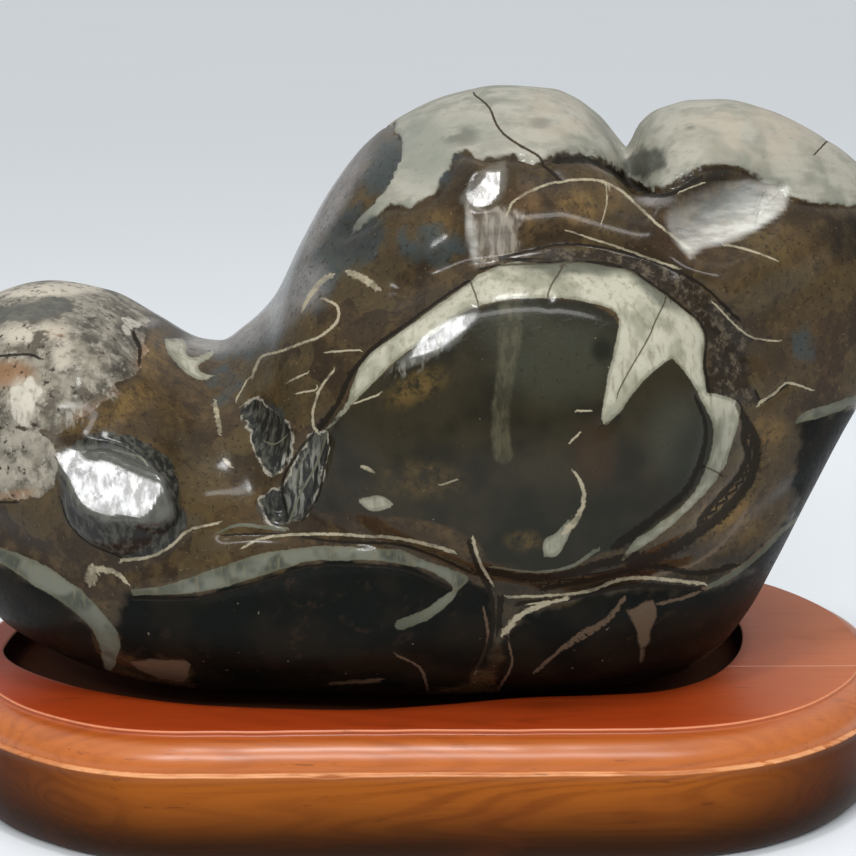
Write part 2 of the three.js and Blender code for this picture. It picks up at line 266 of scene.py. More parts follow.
ARC_FLAT = [
    (396, 366), (412, 350), (433, 330), (454, 314), (478, 306), (478, 318), (462, 336), (444, 352),
    (420, 364),
]
DISH = [
    (666, 216), (676, 200), (700, 188), (742, 180), (773, 182), (789, 188), (789, 188), (785, 207),
    (764, 224), (738, 238), (706, 246), (690, 257), (690, 257), (680, 246), (670, 232),
]
# A crystalline column painted pale, partly as a painted reflection below the dome's highlight.
CRYSTAL_COLUMN_AND_REFLECTION = [
    (467, 202), (486, 209), (503, 204), (521, 214), (518, 238), (506, 260), (480, 268), (476, 250),
    (471, 230),
]

# Pale veins: path, and half the width at its start and at its end.
VEINS = [
    ([(507, 215), (513, 202), (535, 189), (562, 181), (596, 180), (619, 189), (639, 207), (660, 226),
      (688, 248)], 1.2, 1.3),
    ([(606, 184), (607, 202), (602, 222)], 0.9, 0.7),
    ([(567, 230), (593, 239), (616, 246), (649, 258), (678, 268)], 0.8, 1.3),
    ([(725, 244), (752, 251), (776, 260)], 1.2, 0.8),
    ([(680, 191), (703, 183)], 0.8, 0.8),
    ([(324, 299), (336, 305), (339, 317), (333, 326), (319, 337), (302, 343), (278, 352), (262, 356),
      (255, 369), (252, 378)], 1.4, 1.2),
    ([(247, 380), (236, 400)], 0.9, 0.7),
    ([(303, 309), (310, 295), (318, 285), (330, 276)], 1.6, 3.0),
    ([(351, 273), (364, 279), (376, 288)], 3.6, 3.2),
    ([(327, 352), (359, 350)], 1.0, 0.8),
    ([(289, 381), (307, 373)], 1.0, 0.8),
    ([(215, 404), (220, 431)], 2.4, 2.0),
    ([(333, 371), (320, 389), (313, 411), (313, 427), (317, 432)], 1.2, 1.2),
    ([(298, 393), (317, 390)], 0.9, 0.9),
    ([(380, 394), (356, 403)], 1.0, 0.8),
    ([(244, 547), (260, 539), (282, 535), (328, 534), (363, 536), (393, 538), (426, 544),
      (453, 552)], 1.2, 1.8),
    ([(473, 540), (481, 567), (492, 584)], 1.8, 1.2),
    ([(508, 597), (549, 596), (590, 592), (618, 581), (645, 578), (703, 584)], 1.4, 1.8),
    ([(505, 633), (519, 616), (544, 605), (569, 599)], 3.2, 1.2),
    ([(574, 471), (582, 485), (584, 501), (577, 518), (566, 531)], 1.4, 3.2),
    ([(714, 303), (733, 323), (749, 336), (765, 340), (779, 341)], 0.9, 0.9),
    ([(759, 404), (775, 394), (789, 383), (811, 390)], 1.4, 1.0),
    ([(122, 561), (153, 556), (172, 545), (189, 530), (219, 523)], 1.6, 1.2),
    ([(98, 569), (115, 572), (127, 583)], 3.0, 1.4),
    ([(91, 571), (91, 579)], 5.0, 6.0),
    ([(365, 467), (371, 471)], 2.4, 1.6),
    ([(226, 462), (230, 465)], 2.2, 1.6),
    ([(577, 411), (590, 411)], 1.2, 0.8),
    ([(571, 441), (579, 434)], 1.2, 0.8),
    ([(441, 485), (456, 480)], 0.9, 0.9),
]
GREY_VEINS = [
    ([(219, 532), (238, 525), (264, 527), (284, 529)], 1.2, 2.4),
    ([(262, 441), (272, 444), (284, 436)], 0.6, 0.6),
    ([(325, 434), (320, 451), (312, 470), (301, 490), (292, 510), (289, 522)], 1.5, 0.9),
    ([(306, 452), (297, 468), (294, 484)], 0.8, 0.8),
    ([(115, 450), (140, 457), (146, 463)], 1.0, 1.4),
    ([(711, 586), (736, 573), (763, 551), (782, 531), (796, 520), (830, 495)], 2.4, 2.0),
    ([(492, 568), (536, 573), (571, 567), (596, 550)], 1.5, 2.0),
]
# Faint brown veins low on the stone, given as the others are.
FAINT_VEINS = [
    ([(536, 671), (580, 634), (604, 622), (623, 600)], 1.6, 2.2),
    ([(563, 650), (600, 628), (618, 612)], 1.0, 1.0),
    ([(640, 580), (690, 566), (726, 540), (745, 512)], 1.6, 2.0),
    ([(660, 604), (700, 592), (742, 566), (770, 540)], 1.6, 1.2),
    ([(508, 640), (512, 664), (498, 690)], 1.0, 1.4),
    ([(484, 610), (488, 640), (476, 672)], 1.4, 1.0),
    ([(690, 668), (730, 640)], 2.0, 1.6),
    ([(330, 684), (380, 680)], 1.4, 2.0),
    ([(396, 655), (420, 668), (428, 690)], 1.0, 1.4),
]
# Dark cracks and rims, given as the veins are.
CRACKS = [
    ([(666, 301), (657, 319), (649, 338), (629, 372), (617, 396)], 0.8, 0.7),
    ([(704, 467), (713, 470), (722, 475)], 0.8, 0.8),
    ([(564, 264), (550, 287), (548, 299)], 0.9, 0.9),
    ([(470, 280), (478, 302)], 0.9, 0.9),
    ([(480, 268), (498, 264)], 1.5, 1.1),
    ([(474, 93), (489, 106), (498, 126), (513, 140), (539, 155), (545, 164), (562, 181)], 0.9, 1.4),
    ([(828, 140), (816, 153)], 0.8, 0.6),
    ([(765, 192), (761, 202), (755, 225)], 0.7, 0.7),
    ([(781, 191), (773, 199), (768, 205)], 0.7, 0.7),
    ([(680, 229), (698, 235), (722, 244)], 1.3, 1.1),
    ([(500, 257), (530, 250), (562, 244), (600, 247), (640, 257), (668, 267), (704, 287),
      (738, 320)], 0.9, 1.6),
    ([(498, 264), (560, 261), (604, 262), (634, 271), (652, 283), (686, 308), (706, 331), (706, 365),
      (710, 392)], 1.0, 1.8),
    ([(318, 428), (336, 404), (350, 374), (372, 348), (400, 327), (440, 298), (468, 279)], 3.0, 1.0),
    ([(740, 405), (746, 420), (745, 440), (749, 455), (740, 476), (713, 506), (700, 522)], 3.2, 2.6),
    ([(697, 398), (707, 425), (704, 452), (690, 486), (668, 508), (640, 530), (618, 546)], 1.6, 5.0),
    ([(618, 417), (600, 428)], 0.6, 0.6),
    ([(-20, 357), (14, 354), (31, 354), (40, 358)], 1.4, 1.2),
    ([(-20, 502), (15, 503)], 1.6, 1.0),
    ([(89, 451), (108, 451), (130, 461), (161, 473)], 1.2, 2.4),
    ([(60, 500), (67, 523), (89, 545), (122, 559)], 0.6, 0.9),
    ([(312, 434), (298, 451), (283, 477), (282, 496), (287, 520)], 1.4, 1.4),
    ([(329, 440), (323, 467), (318, 495), (303, 519)], 1.2, 1.2),
    ([(133, 600), (166, 600), (200, 598), (261, 582), (308, 567), (347, 565), (400, 569),
      (448, 588)], 1.2, 1.8),
    ([(223, 535), (284, 534), (330, 541), (393, 545), (430, 556), (470, 574)], 0.9, 1.4),
    ([(559, 158), (600, 160), (645, 190), (670, 192), (700, 178)], 4.5, 2.0),
    ([(135, 334), (141, 348), (140, 362)], 2.4, 1.6),
    ([(745, 418), (757, 440), (753, 476), (730, 508), (702, 531), (668, 553), (632, 568)], 4.0, 6.5),
    ([(488, 572), (530, 580), (575, 574), (605, 564), (640, 558)], 4.0, 5.0),
    ([(545, 590), (600, 580), (650, 568), (700, 574), (735, 566)], 2.4, 2.8),
    ([(520, 604), (560, 601), (610, 590), (650, 586), (700, 590)], 2.6, 2.2),
    ([(470, 545), (478, 570), (490, 592), (493, 630), (478, 668)], 3.0, 2.0),
    ([(502, 600), (500, 625), (508, 640)], 2.2, 1.6),
    ([(757, 392), (764, 402), (790, 384)], 1.4, 1.0),
]

# Soft patches of one tint: middle, radii, turn in degrees and strength.
OCHRE = [
    (725, 520, 46, 46, -30, 0.9), (415, 388, 46, 20, -25, 0.7), (190, 390, 60, 60, 0, 0.35),
    (577, 208, 30, 26, 0, 0.9), (154, 356, 26, 36, 20, 1.0), (130, 398, 40, 20, -20, 1.0),
    (769, 430, 26, 24, 0, 0.7), (110, 412, 60, 22, -20, 0.8), (130, 450, 60, 24, 20, 0.4),
    (230, 500, 60, 40, 0, 0.15), (56, 332, 14, 8, 0, 0.8), (10, 374, 34, 20, 0, 1.0),
    (420, 480, 60, 26, 0, 0.35), (440, 225, 22, 22, 0, 0.5), (524, 541, 26, 14, 0, 1.0),
    (10, 497, 40, 8, -12, 0.8), (790, 250, 60, 30, 20, 0.3), (372, 163, 24, 8, -58, 1.0),
    (530, 208, 14, 34, 0, 0.6), (610, 200, 20, 30, 0, 0.4),
]
# Dark patches: partly the stone's own dark parts, and partly painted shade, as in the hollow above the
# polished dish.
DUSK = [
    (340, 640, 170, 60, 0, 1.0), (50, 630, 90, 45, 25, 1.0), (640, 650, 130, 60, 0, 0.9),
    (840, 470, 70, 90, 25, 1.0), (850, 235, 30, 36, 0, 0.9), (602, 350, 15, 18, 0, 0.9),
    (650, 560, 120, 24, -14, 0.7), (520, 545, 50, 22, 0, 0.6), (460, 136, 26, 14, 0, 0.6),
    (540, 123, 16, 9, 0, 0.5), (463, 172, 22, 26, 0, 0.6), (690, 186, 46, 12, -14, 0.7),
    (616, 219, 14, 12, 0, 0.6), (150, 640, 60, 50, 0, 0.9), (225, 660, 60, 50, 0, 0.9),
    (690, 127, 7, 5, 0, 0.7), (520, 555, 60, 16, 0, 0.6), (125, 535, 60, 22, 0, 0.6),
    (700, 460, 40, 70, 20, 0.6), (620, 540, 60, 20, -20, 0.8), (640, 585, 130, 26, -6, 1.0),
    (735, 566, 56, 36, -40, 0.8), (520, 600, 60, 44, 0, 0.8), (580, 156, 40, 12, 0, 0.8),
    (128, 350, 22, 52, 18, 0.9), (100, 405, 40, 13, -36, 0.6), (90, 328, 20, 30, 0, 0.4),
    (640, 225, 26, 14, 0, 0.5), (490, 640, 40, 60, 0, 1.0), (560, 520, 120, 50, 0, 0.6),
    (250, 470, 60, 30, 0, 0.4), (190, 450, 30, 30, 0, 0.3), (570, 266, 90, 12, 2, 1.0),
    (556, 270, 9, 16, 0, 0.7), (655, 290, 50, 12, 40, 0.9), (712, 176, 44, 12, -4, 1.0),
    (330, 425, 26, 12, -60, 0.8), (355, 236, 42, 38, 0, 0.6), (405, 268, 50, 26, 0, 0.4),
    (300, 520, 40, 20, 0, 0.4), (430, 300, 60, 20, -30, 0.4),
]
SLATE = [
    (381, 166, 42, 24, -58, 1.0), (352, 236, 46, 44, 0, 1.0), (300, 270, 60, 60, -30, 0.9),
    (245, 330, 60, 40, -20, 1.0), (430, 246, 46, 34, 0, 0.8), (225, 385, 26, 30, 0, 0.7),
    (804, 346, 20, 30, 0, 0.5), (735, 205, 60, 24, -22, 0.9), (270, 427, 24, 34, -15, 0.6),
    (270, 508, 18, 18, 0, 0.5), (665, 360, 30, 40, 0, 0.25), (175, 340, 30, 22, 0, 0.4),
    (425, 150, 44, 50, 0, 1.0), (470, 130, 50, 20, 0, 0.5),
]
# Pale grey patches: chalky stone in the low lobe, and a painted highlight along the dome's left edge.
MIST = [
    (245, 322, 74, 34, -22, 1.0), (300, 286, 40, 34, -40, 0.8), (326, 208, 120, 20, -58, 0.9),
    (205, 346, 40, 14, 0, 0.8), (655, 199, 26, 10, 0, 0.8), (50, 290, 90, 10, -4, 1.0),
    (30, 334, 56, 14, -4, 0.9), (24, 400, 22, 30, 0, 1.0), (62, 352, 14, 34, 0, 0.7),
    (148, 322, 16, 7, 0, 0.8), (30, 440, 40, 14, 0, 0.4), (10, 470, 40, 20, 0, 0.3),
]
RUST = [
    (596, 453, 30, 48, 0, 0.8), (690, 240, 60, 30, 0, 0.35), (525, 200, 26, 24, 0, 0.5),
    (820, 350, 40, 60, 0, 0.2), (760, 130, 110, 50, 0, 0.6), (560, 110, 60, 40, 0, 0.5),
]
GLASS = [(560, 360, 90, 60, 0, 0.9), (520, 330, 60, 40, 0, 0.7), (680, 440, 46, 60, 0, 0.8)]
# Pale crystal flecks; at the arch's left, where the polish mirrors the window, they are also a painted
# highlight.
SPARKLE = [
    (446, 333, 34, 17, -40, 0.9), (410, 366, 34, 10, -30, 0.5), (282, 461, 14, 9, -20, 0.8),
    (304, 480, 22, 46, 22, 0.5), (73, 415, 26, 14, -30, 0.6), (110, 394, 14, 9, 0, 0.5),
]
# Painted sheen: pale patches standing for light that the polish mirrors.
GLEAM = [
    (472, 236, 7, 36, -8, 0.7), (496, 232, 26, 34, 0, 0.2), (205, 342, 30, 10, 10, 0.3),
    (250, 322, 60, 9, -30, 0.25),
]

# Markings of the hidden side, in the same pixels, as if the stone were seen through.
BACK_ARCH = [
    (330, 480), (338, 400), (380, 320), (450, 268), (540, 246), (640, 258), (720, 305), (768, 385),
    (770, 470), (735, 545), (690, 575), (680, 560), (715, 520), (738, 460), (732, 395), (690, 328),
    (610, 286), (520, 282), (430, 312), (372, 378), (352, 440), (345, 490),
]
BACK_CAPS = [
    (380, 150), (430, 176), (480, 152), (540, 186), (600, 166), (640, 192), (700, 160), (760, 176),
    (820, 192), (870, 214), (940, 226), (940, 226), (940, 20), (940, 20), (380, 20), (380, 20),
]
BACK_BAND = [
    (120, 556), (200, 590), (300, 596), (400, 574), (480, 552), (484, 566), (410, 592), (300, 614),
    (190, 606), (112, 572),
]
BACK_LOBE = [(-110, 250), (60, 262), (150, 300), (180, 345), (150, 400), (80, 430), (-110, 430)]
BACK_CHAMBER = [
    (345, 490), (352, 440), (372, 378), (430, 312), (520, 282), (610, 286), (690, 328), (732, 395),
    (738, 460), (715, 520), (640, 550), (520, 560), (420, 535),
]
BACK_UNDER = [
    (112, 574), (190, 608), (300, 616), (410, 594), (484, 568), (520, 620), (500, 690), (300, 710),
    (130, 680),
]
BACK_EYE = [(90, 500), (96, 452), (140, 430), (186, 452), (196, 505), (160, 540), (110, 538)]
BACK_VEINS = [
    ([(352, 440), (420, 470), (520, 482), (630, 470), (738, 440)], 4.5, 5.5),
    ([(200, 350), (250, 400), (262, 470), (240, 540)], 1.4, 2.2),
    ([(560, 200), (600, 230), (680, 236), (760, 270)], 1.2, 1.2),
    ([(500, 640), (600, 610), (700, 600), (790, 560)], 2.4, 2.0),
    ([(270, 330), (300, 300), (330, 290)], 2.0, 3.2),
]
BACK_CRACKS = [
    ([(480, 150), (520, 200), (530, 246)], 1.0, 1.2),
    ([(330, 250), (440, 256), (560, 236), (660, 246), (740, 300)], 1.8, 3.0),
    ([(120, 610), (200, 622), (300, 622), (410, 600)], 1.4, 1.6),
    ([(90, 500), (96, 450), (140, 428), (188, 450), (198, 505), (160, 542), (110, 540),
      (90, 500)], 1.8, 1.8),
    ([(640, 190), (660, 240)], 1.4, 0.8),
]
BACK_OCHRE = [
    (260, 440, 70, 70, 0, 0.8), (620, 220, 90, 26, 0, 0.6), (790, 330, 60, 90, 0, 0.6),
    (60, 470, 70, 30, 0, 0.7), (560, 420, 80, 40, 10, 0.4),
]
BACK_DUSK = [
    (300, 660, 190, 60, 0, 1.0), (640, 640, 160, 60, 0, 0.9), (840, 500, 80, 80, 0, 0.8),
    (60, 620, 100, 50, 0, 0.9), (140, 490, 50, 50, 0, 0.7),
]
BACK_SLATE = [(300, 240, 90, 70, -30, 0.9), (240, 330, 50, 40, 0, 0.6), (700, 230, 60, 24, 0, 0.6)]
BACK_RUST = [(460, 520, 60, 26, 0, 0.7), (760, 130, 110, 50, 0, 0.5)]
BACK_GLASS = [(520, 350, 120, 60, 0, 0.9), (680, 470, 50, 50, 0, 0.7)]
# Painted sheen on the hidden side.
BACK_GLEAM = [(700, 220, 60, 18, 20, 0.5), (400, 340, 50, 14, -40, 0.4)]
BACK_SPARKLE = [(400, 340, 40, 14, -40, 0.8), (690, 300, 40, 12, 40, 0.6), (140, 452, 30, 14, 0, 0.6)]

# Each field's name, with its marks in front and behind.
OUTLINES = {
    "calcite": ([ARCH, HOOK, SMALL_SLIVER, CURL_WEDGE], [BACK_ARCH]),
    "pale": ([WHITE_DIAMOND, CREAM_PATCH], []),
    "stripe": ([LOBE_STRIPE], []),
    "grey_calcite": ([LEFT_BAND, LOWER_BAND, LOWER_HOOK, FLANK_SLIVER], [BACK_BAND]),
    "cap": ([CAPS], [BACK_CAPS]),
    "lobe": ([LEFT_LOBE, LOBE_FOOT], [BACK_LOBE]),
    "chamber": ([MAIN_CHAMBER], [BACK_CHAMBER]),
    "under": ([LEFT_CHAMBER, LOWER_CHAMBER, RIGHT_CHAMBER, DARK_FLANK], [BACK_UNDER]),
    "hollow": ([CRYSTAL_POCKET, GREEN_POCKET, CRACKLE], []),
    "eye": ([ROUND_EYE], [BACK_EYE]),
    "patch": ([FRAGMENT, RUBBLE_BAND], []),
    "tan": ([FOOT_PATCH, LOWER_TRIANGLE], []),
    "column": ([CRYSTAL_COLUMN_AND_REFLECTION], []),
    "reflection_streak": ([CHAMBER_REFLECTION_STREAK], []),
    "dent": ([DARK_HOLLOW], []),
    "facet": ([EYE_FACET, DOME_FLAT, ARC_FLAT], []),
}
LINES = {
    "vein": (VEINS, BACK_VEINS),
    "grey_vein": (GREY_VEINS, []),
    "faint_vein": (FAINT_VEINS, []),
    "crack": (CRACKS, BACK_CRACKS),
}
TINTS = {
    "ochre": (OCHRE, BACK_OCHRE),
    "dusk": (DUSK, BACK_DUSK),
    "slate": (SLATE, BACK_SLATE),
    "mist": (MIST, BACK_SLATE),
    "rust": (RUST, BACK_RUST),
    "glass": (GLASS, BACK_GLASS),
    "gleam": (GLEAM, BACK_GLEAM),
    "sparkle": (SPARKLE, BACK_SPARKLE),
}

# How finely the stone is drawn: stations along it, points round it, how closely the back's points lie beside
# the front's, how much the stations are evened out towards the tips, and the steps for working that out.
ALONG = 312
AROUND = 304
BACK_SHARE = 0.5
TIP_SHARE = 0.22
FINE_STEPS = 20001

MID_X = (LEFT_TIP[0] + RIGHT_TIP[0]) / 2
HALF_X = (RIGHT_TIP[0] - LEFT_TIP[0]) / 2


def rise(t):
    """Smooth step from 0 to 1."""
    t = np.clip(t, 0.0, 1.0)
    return t * t * (3 - 2 * t)


def turn_at(x):
    return np.arccos(np.clip((MID_X - np.asarray(x, float)) / HALF_X, -1, 1))


def profile(points, first, last):
    """A smooth curve through points that never overshoots them, over the turn from tip to tip."""
    t = np.concatenate([[0.0], turn_at([p[0] for p in points]), [pi]])
    v = np.array([first, *[p[1] for p in points], last], float)
    slope = np.diff(v) / np.diff(t)
    tangent = np.concatenate([[slope[0]], slope[1:], [slope[-1]]])
    for i in range(1, len(v) - 1):
        before, after = slope[i - 1], slope[i]
        tangent[i] = 0.0 if before * after <= 0 else 2 * before * after / (before + after)

    def curve(at):
        i = np.clip(np.searchsorted(t, at, side="left") - 1, 0, len(t) - 2)
        span = t[i + 1] - t[i]
        s = (at - t[i]) / span
        ends = v[i] * (1 + 2 * s) * (1 - s) ** 2 + v[i + 1] * s * s * (3 - 2 * s)
        return ends + span * (tangent[i] * s * (1 - s) ** 2 - tangent[i + 1] * s * s * (1 - s))
    return curve


def lift(lump, x, z):
    """How far a lump lifts the face at (x, z)."""
    mid_x, mid_z, radius_x, radius_z, turn, height, flat = lump
    a = radians(turn)
    along = ((x - mid_x) * cos(a) + (z - mid_z) * sin(a)) / radius_x
    across = ((z - mid_z) * cos(a) - (x - mid_x) * sin(a)) / radius_z
    return height * rise((1 - np.hypot(along, across)) / (1 - flat))


def nearest_on(path, x, z):
    """The distance from every (x, z) to a path of straight pieces."""
    nearest = np.full(np.shape(x), np.inf)
    for (x0, z0), (x1, z1) in zip(path, path[1:]):
        ex, ez = x1 - x0, z1 - z0
        s = np.clip(((x - x0) * ex + (z - z0) * ez) / (ex * ex + ez * ez), 0, 1)
        nearest = np.minimum(nearest, np.hypot(x - x0 - s * ex, z - z0 - s * ez))
    return nearest


def face_relief(x, z, lumps, grooves, phase):
    height = WAVE_HEIGHT * np.sin(x / WAVE_X + phase) * np.sin(z / WAVE_Z + 1 - phase)
    for lump in lumps:
        height = height + lift(lump, x, z)
    for path, width, depth in grooves:
        height = height - depth * np.exp(-((nearest_on(path, x, z) / width) ** 2))
    return height


def cleft(x, y, c, s):
    """How deep the cleft between the domes is at a section point, y millimetres behind the ridge."""
    from_middle = x - CLEFT_MIDDLE - np.where(c < 0, 0.0, CLEFT_SLANT * np.maximum(0, y))
    across = sum(np.interp(from_middle + k, *zip(*CLEFT_DEPTH)) for k in CLEFT_BLUR)
    across = across / len(CLEFT_BLUR)
    full = np.where(c < 0, CLEFT_FRONT[0], CLEFT_BACK[0])
    none = np.where(c < 0, CLEFT_FRONT[1], CLEFT_BACK[1])
    return np.where(s < 0, 0.0, across * (1 - rise((np.abs(c) - full) / (none - full))))


def bent(v):
    """A section point's direction, for each quarter of the squared ellipse."""
    c, s = np.cos(v), np.sin(v)
    power = 2 / np.where(s < 0, LOWER_POWER, UPPER_POWER)
    return c, s, np.sign(c) * np.abs(c) ** power, np.sign(s) * np.abs(s) ** power


def station_turns():
    """Turns from tip to tip whose stations lie nearly evenly along the stone."""
    fine = np.linspace(0, pi, FINE_STEPS)
    reached = 1 - np.cos(fine) + TIP_SHARE * fine
    return np.interp(np.linspace(0, reached[-1], ALONG + 1)[1:-1], reached, fine)


def ring_turns():
    """Turns round a section, evenly spaced, with more of them on the shown face than on the back."""
    fine = np.linspace(0, 2 * pi, 2 * FINE_STEPS - 1)
    c, _, across, up = bent(fine)
    steps = np.hypot(np.diff(across), np.diff(up)) * np.where(c[1:] < 0, 1.0, BACK_SHARE)
    reached = np.concatenate([[0.0], np.cumsum(steps)])
    return np.interp(np.linspace(0, reached[-1], AROUND + 1)[:-1], reached, fine)


def stone_grid():
    """Points of the stone's skin, as an array of stations by turns by (x, y, z), in millimetres."""
    ends = list(zip(LEFT_TIP, RIGHT_TIP))
    top, bottom, waist_of = (profile(p, *ends[2]) for p in (TOP, BOTTOM, WAIST))
    front, back, crest, keel = (profile(p, *ends[1]) for p in (FRONT, BACK, CREST, KEEL))
    u = station_turns()[:, None]
    c, s, across, up = (a[None, :] for a in bent(ring_turns()))
    x = np.broadcast_to(MID_X - HALF_X * np.cos(u), (u.shape[0], c.shape[1]))
    ridge = np.where(s < 0, keel(u), crest(u))
    waist = waist_of(u)
    deep = np.where(c < 0, ridge - front(u), back(u) - ridge)
    tall = np.where(s < 0, waist - bottom(u), top(u) - waist)
    y, z = ridge + deep * across, waist + tall * up
    out_y, out_z = across / np.maximum(deep, 1), up / np.maximum(tall, 1)
    size = np.hypot(out_y, out_z)
    shown = face_relief(x, z, FRONT_LUMPS, FRONT_GROOVES, 0.4)
    hidden = face_relief(x, z, BACK_LUMPS, BACK_GROOVES, 2.1)
    amount = rise(np.abs(c) * FADE_AT_RIDGE) * rise(np.sin(u) * FADE_AT_TIPS)
    amount = amount * np.where(c < 0, shown, hidden)
    amount = amount - cleft(x, y - ridge, c, s)
    return np.stack([x, y + out_y / size * amount, z + out_z / size * amount], axis=-1)


def grid_faces(rows, columns):
    """Quads of a grid that closes round its columns, with a fan of triangles to a tip at each end."""
    faces = []
    first, last = rows * columns, rows * columns + 1
    for j in range(columns):
        k = (j + 1) % columns
        faces.append((first, k, j))
        faces.append((last, (rows - 1) * columns + j, (rows - 1) * columns + k))
        for i in range(rows - 1):
            a = i * columns
            faces.append((a + j, a + k, a + columns + k, a + columns + j))
    return faces


def enclosed(points, faces):
    """Six times the volume inside the faces, which is negative where they face inwards."""
    points = np.asarray(points)
    corners = np.array([(f[0], f[k], f[k + 1]) for f in faces for k in range(1, len(f) - 1)])
    a, b, c = (points[corners[:, k]] for k in range(3))
    return (a * np.cross(b, c)).sum()


def mesh_object(name, points, faces):
    """A smooth mesh object from millimetre points, with its faces turned outwards."""
    if enclosed(points, faces) < 0:
        faces = [face[::-1] for face in faces]
    mesh = bpy.data.meshes.new(name)
    mesh.from_pydata((np.asarray(points) * MM).tolist(), [], faces)
    mesh.polygons.foreach_set("use_smooth", [True] * len(mesh.polygons))
    mesh.update()
    piece = bpy.data.objects.new(name, mesh)
    bpy.context.collection.objects.link(piece)
    return piece


def vertex_normals(grid):
    """Unit normals of the grid, pointing outwards."""
    along = np.gradient(grid, axis=0)
    around = np.roll(grid, -1, axis=1) - np.roll(grid, 1, axis=1)
    normal = np.cross(along, around)
    normal /= np.linalg.norm(normal, axis=-1, keepdims=True) + 1e-12
    outward = grid - grid.mean(axis=1, keepdims=True)
    if (normal * outward).sum() < 0:
        normal = -normal
    return normal


# Camera
def eye_axes():
    """The camera's forward, right and up directions."""
    forward = np.array([
        sin(EYE_YAW) * cos(EYE_PITCH), cos(EYE_YAW) * cos(EYE_PITCH), -sin(EYE_PITCH)])
    level = np.array([cos(EYE_YAW), -sin(EYE_YAW), 0.0])
    upright = np.cross(level, forward)
    right = level * cos(EYE_ROLL) + upright * sin(EYE_ROLL)
    up = upright * cos(EYE_ROLL) - level * sin(EYE_ROLL)
    return forward, right, up


def photo_pixels(points):
    """Where millimetre points fall in the photograph."""
    forward, right, up = eye_axes()
    away = points - EYE
    depth = away @ forward
    middle = PHOTO_SIDE / 2
    return middle + PHOTO_FOCAL * (away @ right) / depth, middle - PHOTO_FOCAL * (away @ up) / depth


def add_camera():
    forward, right, up = eye_axes()
    data = bpy.data.cameras.new("camera")
    data.sensor_width = SENSOR
    data.lens = PHOTO_FOCAL / PHOTO_SIDE * SENSOR
    data.clip_start = 0.01
    camera = bpy.data.objects.new("camera", data)
    bpy.context.collection.objects.link(camera)
    turn = Matrix((Vector(right), Vector(up), Vector(-forward))).transposed().to_4x4()
    camera.matrix_world = Matrix.Translation(Vector(EYE * MM)) @ turn
    bpy.context.scene.camera = camera


# The room's bright lights, in metres: a lamp overhead, a window at the front left, and a ceiling panel.
LAMP_PLACE = (-0.06, -0.38, 1.02)
WINDOW_PLACE = (-0.32, -0.86, 0.72)
PANEL_PLACE = (0.1, -0.30, 1.10)

# Flats polished on the shown side, the light that each one mirrors, and how many pixels its edge is rounded
# over. Then how far a point may move onto its flat, in millimetres, the share of the rounded edge that lies
# outside the outline, and how squarely the skin has to face the camera there.
FLATS = [
    (DOME_FLAT, LAMP_PLACE, 13.0), (ARC_FLAT, WINDOW_PLACE, 13.0), (EYE_FACET, WINDOW_PLACE, 9.0),
]
FLAT_MOST = 3.0
FLAT_REACH = 0.6
FLAT_FACING = 0.1

# The polished dish's painted sheen, pale colour for the light its polish mirrors: a point of its rim, the
# way up its slope, the sheen at distances up it, and how many pixels its edge is softened over.
DISH_RIM = (786.0, 198.0)
DISH_UP = (-0.49, -0.87)
DISH_SHEEN = [(0, 1.0), (7, 0.95), (16, 0.55), (36, 0.3), (52, 0.0)]
DISH_EDGE = 6

# How deep cracks, pockets and the crust's edge are sunk, in millimetres, and over how many pixels.
CRACK_CUT = (0.45, 3.5)
POCKET_CUT = (1.1, 9)
CRUST_CUT = (1.1, 7)

# Fields of the markings: distances in photograph pixels, kept at every point of the skin, up to a limit. The
# hidden side's markings give way to the shown side's between two values of how squarely the skin faces the
# camera.
FAR = 16.0
LINE_LIMIT = 8.0
TINT_FLAT = 0.35
HIDDEN_UP_TO = -0.25
SHOWN_FROM = 0.02


def curved(points, closed=False, steps=4):
    """A smooth path through points, where a point given twice is a corner."""
    p = np.array(points, float)
    if closed:
        p = np.vstack([p[-1:], p, p[:2]])
    else:
        p = np.vstack([p[:1], p, p[-1:]])
    path = []
    for before, start, end, after in zip(p, p[1:], p[2:], p[3:]):
        span = end - start
        length = np.hypot(*span)
        if length == 0:
            continue
        leave = span if (before == start).all() else (end - before) / 2
        arrive = span if (after == end).all() else (after - start) / 2
        leave = leave * min(1.0, length / np.hypot(*leave))
        arrive = arrive * min(1.0, length / np.hypot(*arrive))
        for k in range(steps):
            s = k / steps
            path.append(start * (1 + 2 * s) * (1 - s) ** 2 + end * s * s * (3 - 2 * s)
                        + leave * s * (1 - s) ** 2 - arrive * s * s * (1 - s))
    if not closed:
        path.append(p[-1])
    return np.array(path)


def near(path, px, py):
    """Which points lie within reach of a path."""
    low, high = path.min(axis=0) - FAR, path.max(axis=0) + FAR
    return np.nonzero((px > low[0]) & (px < high[0]) & (py > low[1]) & (py < high[1]))[0]


def outline_distance(outlines, px, py):
    """The distance to the nearest of several closed outlines, negative inside them."""
    field = np.full(px.shape, FAR)
    for outline in outlines:
        path = curved(outline, closed=True)
        chosen = near(path, px, py)
        x, y = px[chosen], py[chosen]
        distance = np.full(x.shape, FAR)
        inside = np.zeros(x.shape, bool)
        for (x0, y0), (x1, y1) in zip(path, np.roll(path, -1, axis=0)):
            ex, ey = x1 - x0, y1 - y0
            s = np.clip(((x - x0) * ex + (y - y0) * ey) / (ex * ex + ey * ey + 1e-9), 0, 1)
            distance = np.minimum(distance, np.hypot(x - x0 - s * ex, y - y0 - s * ey))
            if y0 != y1:
                inside ^= ((y0 > y) != (y1 > y)) & (x < x0 + (y - y0) / ey * ex)
        field[chosen] = np.minimum(field[chosen], np.where(inside, -distance, distance))
    return field


